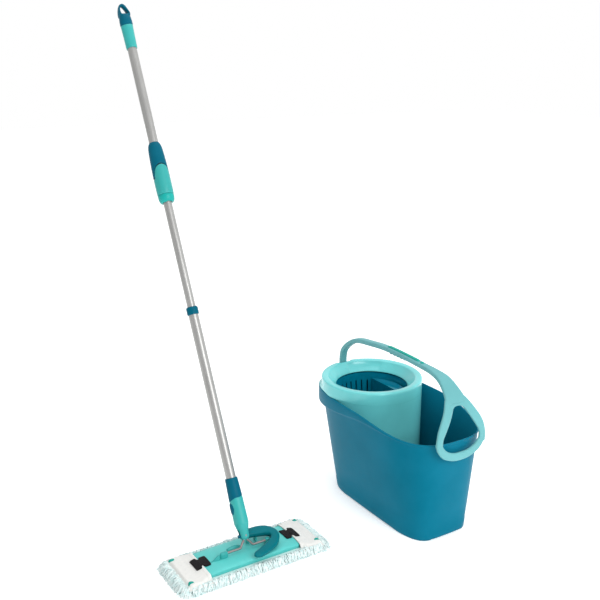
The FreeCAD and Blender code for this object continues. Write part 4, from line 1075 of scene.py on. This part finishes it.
def make_straps():
    """Black straps, each two square tabs joined by a neck over the pocket's mouth."""
    for side, name in ((-1, "left"), (1, "right")):
        steps = 25
        lines = []
        for u in [(-18 + 35 * k / (steps - 1)) for k in range(steps)]:
            wide = 19.0 if u < -4.0 else (20.0 if u > 4.0 else 12.5)
            if 2.0 < abs(u) <= 4.2:
                wide = 12.5 + (19.0 - 12.5) * (abs(u) - 2.0) / 2.2
            near_end = min(u + 18, 17 - u)
            wide -= 2.0 * (1 - smoothstep(near_end / 2.0))
            lines.append((u, wide))
        top, low = [], []
        across = 15
        for u, wide in lines:
            row_top, row_low = [], []
            for k in range(across):
                v = (-1 + 2 * k / (across - 1))
                x = (113.0 + u) * MM
                y = wide * v * MM - 1.0 * MM
                edge = 1 - abs(v) ** 8
                height = surface_height(x, y)
                row_top.append(Vector((side * x, y, height + (0.9 + 0.9 * edge) * MM)))
                row_low.append(Vector((side * x, y, height - 0.6 * MM)))
            top.append(row_top)
            low.append(row_low)
        points, faces = [], []
        for row in top:
            points.extend(row)
        for row in low:
            points.extend(row)
        half = len(points) // 2
        for r in range(steps - 1):
            for k in range(across - 1):
                a = r * across + k
                faces.append((a, a + 1, a + across + 1, a + across))
                faces.append((half + a + across, half + a + across + 1, half + a + 1, half + a))
        border = list(range(across)) + [r * across + across - 1 for r in range(1, steps)]
        border += [(steps - 1) * across + k for k in range(across - 2, -1, -1)]
        border += [r * across for r in range(steps - 2, 0, -1)]
        for index, point in enumerate(border):
            after = border[(index + 1) % len(border)]
            faces.append((point, half + point, half + after, after))
        mesh_piece("plate_strap_" + name, points, faces, webbing, "mop_head", "black_rubber", ["pad_clips"],
            to_mop)


def make_pad():
    """Plush pad under the plate: a crowned closed form with drawn-in sides; its looped pile below is not modelled.
    """
    rings = []
    half_x, half_y = 174 * MM, 64 * MM
    for height, grow in ((1.2, -9), (0.8, -4), (1.4, -1), (3.2, 0.8), (6.5, 1.6), (9.6, 0.9), (12.0, -1.6),
        (12.9, -6),
                         (13.1, -14)):
        rings.append(superellipse(half_x + grow * MM, half_y + grow * MM, 9.0, 0, height * MM, 120))
    piece = mesh_piece("mop_pad_plush", *loft(rings), pad_cloth, "mop_head", "pad_cloth", ["mop_pad"],
        to_mop)


def strand(base, direction, length, radius, droop, rise, twist, sides=5, steps=6):
    """One twisted microfibre strand that springs out of the pad and falls to the floor."""
    side = Vector((-direction.y, direction.x, 0))
    rings = []
    for step in range(steps + 1):
        t = step / steps
        out = length * (1 - (1 - t) ** 1.6)
        height = base.z + rise * math.sin(math.pi * min(1.0, t * 1.5)) - droop * t ** 1.8
        middle = Vector((base.x, base.y, 0)) + direction * out
        middle += side * twist * math.sin(2.6 * t + twist * 900)
        size = radius * (0.75 + 0.35 * math.sin(math.pi * min(1.0, t * 1.1))) * (1 - 0.45 * t ** 6)
        middle.z = max(size + 0.3 * MM, height)
        lobes = []
        for corner in range(sides):
            angle = 2 * math.pi * corner / sides + t * 5.0
            lobes.append(middle + side * size * math.cos(angle) + Vector((0, 0, size * math.sin(angle))))
        rings.append(lobes)
    return loft(rings)


def perimeter_place(share, half_x, half_y, corner):
    """A place and its outward direction on a rounded rectangle's edge."""
    straight_x, straight_y = half_x - corner, half_y - corner
    arc = corner * math.pi / 2
    lengths = [2 * straight_x, arc, 2 * straight_y, arc] * 2
    total = sum(lengths)
    at = share % 1.0 * total
    index = 0
    while at > lengths[index]:
        at -= lengths[index]
        index += 1
    t = at / lengths[index]
    if index == 0:
        return Vector((-straight_x + 2 * straight_x * t, -half_y, 0)), Vector((0, -1, 0))
    if index == 2:
        return Vector((half_x, -straight_y + 2 * straight_y * t, 0)), Vector((1, 0, 0))
    if index == 4:
        return Vector((straight_x - 2 * straight_x * t, half_y, 0)), Vector((0, 1, 0))
    if index == 6:
        return Vector((-half_x, straight_y - 2 * straight_y * t, 0)), Vector((-1, 0, 0))
    centre = {1: (straight_x, -straight_y), 3: (straight_x, straight_y), 5: (-straight_x, straight_y),
              7: (-straight_x, -straight_y)}[index]
    angle = {1: -90, 3: 0, 5: 90, 7: 180}[index] + 90 * t
    direction = Vector((math.cos(math.radians(angle)), math.sin(math.radians(angle)), 0))
    return Vector((centre[0], centre[1], 0)) + direction * corner, direction


def make_fringe():
    """Microfibre fringe: overlapping rows of twisted strands all round the pad."""
    source = random.Random(7)
    rows = (
        (560, 171, 61, 4.5, (10, 15), (10, 12), (2.0, 4.0)),
        (560, 169, 59, 8.5, (11, 16), (8, 11), (2.0, 4.5)),
        (480, 166, 56, 12.6, (12, 17), (6, 10), (2.0, 4.5)),
        (330, 164, 55, 13.6, (9, 13), (2, 4), (1.2, 3.0)),
    )
    skins = []
    for count, half_x, half_y, height, reach, droop, rise in rows:
        for index in range(count):
            place, direction = perimeter_place((index + source.uniform(-0.4, 0.4)) / count, half_x * MM,
                half_y * MM,
                                               9 * MM)
            swing = source.gauss(0, 0.32)
            direction = Matrix.Rotation(swing, 3, "Z") @ direction
            base = place + Vector((0, 0, (height + source.uniform(-1.2, 1.2)) * MM))
            end_gain = 1 + 0.45 * abs(direction.x)
            skins.append(strand(base, direction, source.uniform(*reach) * end_gain * MM,
                source.uniform(1.15, 1.75) * MM,
                                source.uniform(*droop) * MM, source.uniform(*rise) * MM,
                                source.uniform(-2.2, 2.2) * MM))
    return mesh_piece("pad_fringe_strands", *joined(*skins), microfibre, "mop_head", "microfibre",
        ["pad_fringe"],
                      to_mop)


# ---------------------------------------------------------------- pole pieces

def around(angle_deg):
    """A direction round the pole, from its own X axis towards its own Y axis."""
    angle = math.radians(angle_deg)
    return Vector((math.cos(angle), math.sin(angle), 0))


def turned_shell(name, rows, material, body, slot, stands_for=(), count=72):
    """A shell round the pole from rows of (radius, station), where each may depend on the angle."""
    rings = []
    for radius, station in rows:
        ring = []
        for step in range(count):
            degrees = 360 * step / count
            r = radius(degrees) if callable(radius) else radius
            z = station(degrees) if callable(station) else station
            ring.append(around(degrees) * r * MM + Vector((0, 0, z * MM)))
        rings.append(ring)
    rings.append(rings[0])
    return mesh_piece(name, *loft(rings, True, False, False), material, body, slot, stands_for, to_pole)


def turned_by(degrees, middle):
    """How far a direction is from the middle of a feature, from 0 to 180 degrees."""
    return abs((degrees - middle + 180) % 360 - 180)


def make_socket_collar():
    """Petrol sleeve over the socket's top, dipping towards the release button."""
    def seam(degrees):
        return 86.0 - 9.0 * (1 - smoothstep(turned_by(degrees,
            180) / 75)) + 1.5 * math.cos(math.radians(degrees * 2))

    def low_radius(degrees):
        return 16.15 - 0.03 * (seam(degrees) - 76)

    turned_shell("socket_collar_shell", [
        (11.7, 96), (14.0, lambda d: seam(d) + 3), (lambda d: low_radius(d) - 0.5, lambda d: seam(d) + 0.3),
        (low_radius, seam), (lambda d: low_radius(d) + 0.1, lambda d: seam(d) + 0.7),
        (15.45, 97), (14.9, 112), (14.5, 124), (14.2, 127.2), (13.6, 128.4), (12.2, 128.8), (11.7, 128.2)],
        petrol_small, "lower_pole", "petrol", ["socket_collar"])


def make_button():
    """Oval release button on the side of the socket."""
    rings = []
    for lift, share in ((-1.5, 1.0), (0.4, 1.0), (1.1, 0.94), (1.6, 0.82), (1.9, 0.6), (2.0, 0.3)):
        ring = []
        for step in range(40):
            angle = 2 * math.pi * step / 40
            along, across = 13.5 * math.cos(angle) * share, 8.8 * math.sin(angle) * share
            bend = math.radians(across / 16.5 * 57.3)
            radius = 15.7 + lift
            ring.append(Vector((-radius * math.cos(bend), radius * math.sin(bend), 62 + along)) * MM)
        rings.append(ring)
    stem = [[Vector((x, radius * math.cos(2 * math.pi * k / 20),
        62 + radius * math.sin(2 * math.pi * k / 20))) * MM
             for k in range(20)] for x, radius in ((-15.0, 4.4), (-9.0, 4.4))]
    mesh_piece("release_button_cap", *joined(loft(rings), loft(stem)), petrol_small, "button", "petrol",
               ["release_button"], to_pole)


GRIP_FRONT = -97


def grip_seam(degrees):
    """The tongue of the lock sleeve rises into the upper shell at the front."""
    t = turned_by(degrees, GRIP_FRONT) / 66
    return 834.0 + 31.0 * math.sqrt(max(0.0, 1 - t * t)) ** 0.9


def grip_skin(station):
    """Outer radius of the grip along the pole."""
    stops = ((778, 14.4), (781, 16.6), (786, 18.2), (794, 19.0), (806, 19.5), (836, 19.5), (860, 19.1),
        (880, 18.3),
             (896, 17.5), (906, 16.8), (912, 15.9), (916.5, 14.6), (919.5, 13.3), (921.7, 11.9))
    for (low, a), (high, b) in zip(stops, stops[1:]):
        if station <= high:
            return a + (b - a) * max(0.0, (station - low) / (high - low))
    return stops[-1][1]


def make_grip():
    """Grip: petrol upper shell, turquoise lock sleeve with its tongue, and the end ring."""
    def raised(share):
        return lambda d: grip_seam(d) + 2.6 + (921.4 - grip_seam(d) - 2.6) * share

    rows = [(11.05, 900), (17.6, lambda d: grip_seam(d) + 3.0),
            (lambda d: grip_skin(grip_seam(d)) - 0.7, lambda d: grip_seam(d) + 2.4),
            (lambda d: grip_skin(grip_seam(d)), lambda d: grip_seam(d) + 3.0)]
    for share in (0.08, 0.18, 0.3, 0.42, 0.54, 0.66, 0.76, 0.84, 0.9, 0.94, 0.97, 0.99):
        rows.append((lambda d, s=share: grip_skin(raised(s)(d)), raised(share)))
    rows += [(11.7, 922.0), (11.3, 922.4), (11.05, 922.0)]
    turned_shell("grip_upper_skin", rows, petrol_small, "upper_pole", "petrol", ["grip_upper_shell"])

    # The ring in the grip's seam is a real inner part; its near-black tone is painted shade in the gap.
    turned_shell("grip_gap_ring", [(11.05, 832), (17.6, 832), (18.0, 840), (17.8, 868), (17.4, 878),
        (11.05, 880)],
                 petrol_gap_painted_shade, "upper_pole", "petrol")

    def panel(degrees, station):
        side = 1 - smoothstep((turned_by(degrees, GRIP_FRONT) - 44) / 5)
        ends = smoothstep((station - 798) / 4)
        return 0.55 * side * ends

    rows = [(10.7, 794.6), (18.2, 794.4), (18.9, 794.8), (19.1, 796.0)]
    for share in (0.05, 0.12, 0.2, 0.35, 0.5, 0.65, 0.8, 0.92, 0.985):
        def station(d, s=share):
            return 796 + (grip_seam(d) - 0.6 - 796) * s
        rows.append((lambda d, f=station: grip_skin(f(d)) + panel(d, f(d)), station))
    rows += [(lambda d: grip_skin(grip_seam(d)) - 0.2 + panel(d, 840), lambda d: grip_seam(d) - 0.5),
             (lambda d: grip_skin(grip_seam(d)) - 1.0, lambda d: grip_seam(d) - 0.2),
             (18.2, lambda d: grip_seam(d) - 1.2),
             (18.2, 812), (10.7, 812)]
    turned_shell("grip_lock_skin", rows, turquoise, "grip_lock", "turquoise", ["grip_lock_sleeve"])

    def low(degrees):
        return 775.6 + 1.4 * (1 - smoothstep(turned_by(degrees, GRIP_FRONT) / 40))

    turned_shell("grip_end_skin", [
        (10.4, 793.8), (10.4, lambda d: low(d) + 1.5), (11.2, low), (14.2, lambda d: low(d) - 0.2),
        (16.4, lambda d: low(d) + 2.2), (17.8, lambda d: low(d) + 6), (18.6, 787), (18.8, 792.4),
        (18.3, 793.9)],
        teal_ring, "grip_lock", "teal_soft", ["grip_end_ring"])


def band_ring(outer, inner, half_depth, count=40, sides=16):
    """A closed band between two outlines in the XZ plane, thick along Y."""
    def whole(points):
        line = [Vector((x * MM, 0, z * MM)) for x, z in points]
        line.append(line[0])
        return divide(line, count + 1)[:-1]

    rings = []
    for a, b in zip(whole(outer), whole(inner)):
        centre, across = (a + b) / 2, (a - b) / 2
        ring = []
        for step in range(sides):
            angle = 2 * math.pi * step / sides
            c, s = math.cos(angle), math.sin(angle)
            reach = (abs(c) ** 2.8 + abs(s) ** 2.8) ** (-1 / 2.8)
            point = centre + across * reach * c
            ring.append(point + Vector((0, half_depth(point.z / MM) * MM * reach * s, 0)))
        rings.append(ring)
    rings.append(rings[0])
    return loft(rings, True, False, False)


def make_hang_cap():
    """Petrol end cap with a slanted hanging eye, and the turquoise sleeve below it."""
    def seam(degrees):
        turn = math.radians(degrees)
        return 1220.3 + 1.6 * math.cos(turn) + 2.6 * math.sin(turn)

    body = []
    for radius, station in ((14.0, 0.0), (15.0, 0.2), (15.2, 1.0)):
        body.append([around(10 * k) * radius * MM + Vector((0, 0,
            (seam(10 * k) + station) * MM)) for k in range(36)])
    for share, depth, station in ((0.99, 0.99, 1230), (0.95, 0.94, 1236), (0.92, 0.86, 1241),
        (0.89, 0.76, 1245),
                                  (0.82, 0.6, 1247.2), (0.6, 0.35, 1247.8)):
        body.append([Vector((15.2 * share * math.cos(math.radians(10 * k)),
            15.2 * depth * math.sin(math.radians(10 * k)),
                             station)) * MM for k in range(36)])
    outer = rounded_profile([
        (0, 1240), (12, 1240, 3), (13.6, 1250, 6), (10.6, 1263, 7), (4.5, 1274.6, 6), (-5.5, 1275.4, 6),
        (-12, 1267, 7),
        (-14.2, 1252, 6), (-12.4, 1240, 3), (0, 1240)], 5)
    inner = rounded_profile([
        (-1, 1247.6), (8.2, 1248.6, 2.0), (6.4, 1256, 3), (-3.2, 1269.8, 2.4), (-8.6, 1262, 4),
        (-10.0, 1247.6, 2.0),
        (-1, 1247.6)], 5)
    eye = band_ring(outer[:-1], inner[:-1], lambda z: 11.5 - 5.5 * smoothstep((z - 1244) / 22))
    mesh_piece("hang_cap_shell", *joined(loft(body), eye), petrol_small, "upper_pole", "petrol",
        ["hang_cap"], to_pole)
    turned_shell("top_sleeve_shell", [
        (11.05, 1163), (11.1, 1160.6), (12.4, 1160.2), (12.9, 1161.2), (13.2, 1166), (13.6, 1190),
        (14.3, 1212),
        (14.7, lambda d: seam(d) - 1.0), (14.2, lambda d: seam(d) - 0.2), (11.05, 1219)],
        turquoise, "upper_pole", "turquoise", ["top_sleeve"])


# ---------------------------------------------------------------- camera, light and floor

WORLD_WHITE = 1.0
WORLD_DARK = 0.58

def look_from(position, azimuth, down):
    camera_data = bpy.data.cameras.new("camera")
    camera_data.sensor_width = 36.0
    camera_data.lens = 51.0
    camera_data.clip_start = 0.05
    camera_data.clip_end = 60.0
    camera = bpy.data.objects.new("camera", camera_data)
    bpy.context.scene.collection.objects.link(camera)
    camera.location = position
    camera.rotation_euler = (math.radians(90 - down), 0, -math.radians(azimuth))
    bpy.context.scene.camera = camera


def soft_light(name, position, target, long, wide, watts):
    data = bpy.data.lights.new(name, "AREA")
    data.shape = "RECTANGLE"
    data.size = long
    data.size_y = wide
    data.energy = watts
    light = bpy.data.objects.new(name, data)
    bpy.context.scene.collection.objects.link(light)
    light.location = position
    light.rotation_euler = (Vector(target) - Vector(position)).to_track_quat("-Z", "Y").to_euler()
    return light


def make_world():
    """Pale surroundings: white where the camera looks, softly darker behind and to the left of it."""
    world = bpy.data.worlds.new("studio")
    world.use_nodes = True
    nodes, links = world.node_tree.nodes, world.node_tree.links
    background = nodes["Background"]
    place = nodes.new("ShaderNodeTexCoord").outputs["Generated"]
    facing = nodes.new("ShaderNodeVectorMath")
    facing.operation = "DOT_PRODUCT"
    facing.inputs[1].default_value = Vector((0.72, 0.62, 0.32)).normalized()
    links.new(place, facing.inputs[0])
    tone = add_ramp(nodes, links, facing.outputs["Value"],
        [(0.0, grey(WORLD_DARK)), (0.42, grey(WORLD_WHITE))])
    links.new(tone.outputs["Color"], background.inputs["Color"])
    background.inputs["Strength"].default_value = 1.0
    bpy.context.scene.world = world


def make_studio():
    make_world()
    mesh = bpy.data.meshes.new("floor")
    size = 12.0
    mesh.from_pydata([(-size, -size, 0), (size, -size, 0), (size, size, 0), (-size, size, 0)], [],
        [(0, 1, 2, 3)])
    floor = bpy.data.objects.new("floor", mesh)
    bpy.context.scene.collection.objects.link(floor)
    material, nodes, links, shader = new_material("pale_floor")
    place = nodes.new("ShaderNodeTexCoord").outputs["Object"]
    mottle = add_noise(nodes, links, place, 3.0, 2.0)
    tone = add_ramp(nodes, links, mottle.outputs["Fac"], [(0.3, grey(0.955)), (0.7, grey(0.965))])
    links.new(tone.outputs["Color"], shader.inputs["Base Color"])
    shader.inputs["Roughness"].default_value = 0.9
    shader.inputs["Emission Color"].default_value = (1.0, 1.0, 1.0, 1.0)
    shader.inputs["Emission Strength"].default_value = 0.34
    mesh.materials.append(material)
    soft_light("key", (0.3, -3.0, 1.9), (0.1, 0, 0.2), 1.8, 1.8, 64)
    soft_light("top", (0.2, 0.3, 3.2), (0.1, 0, 0), 2.4, 2.4, 24)
    bpy.context.scene.view_settings.view_transform = "Standard"


dress_cad_nodes()
make_tub()
hinge_ears()
make_housing()
make_handle()
make_grip_strip()
make_finger_ribs()
make_plate()
make_saddles()
make_lever()
make_pockets()
make_stitches()
make_eyelets()
make_straps()
make_pad()
make_fringe()
make_socket_collar()
make_button()
make_grip()
make_hang_cap()
camera_place = bucket_origin + Vector((-1.2297, -1.5174, 1.0779))
look_from(camera_place, 32.18, 15.94)
make_studio()
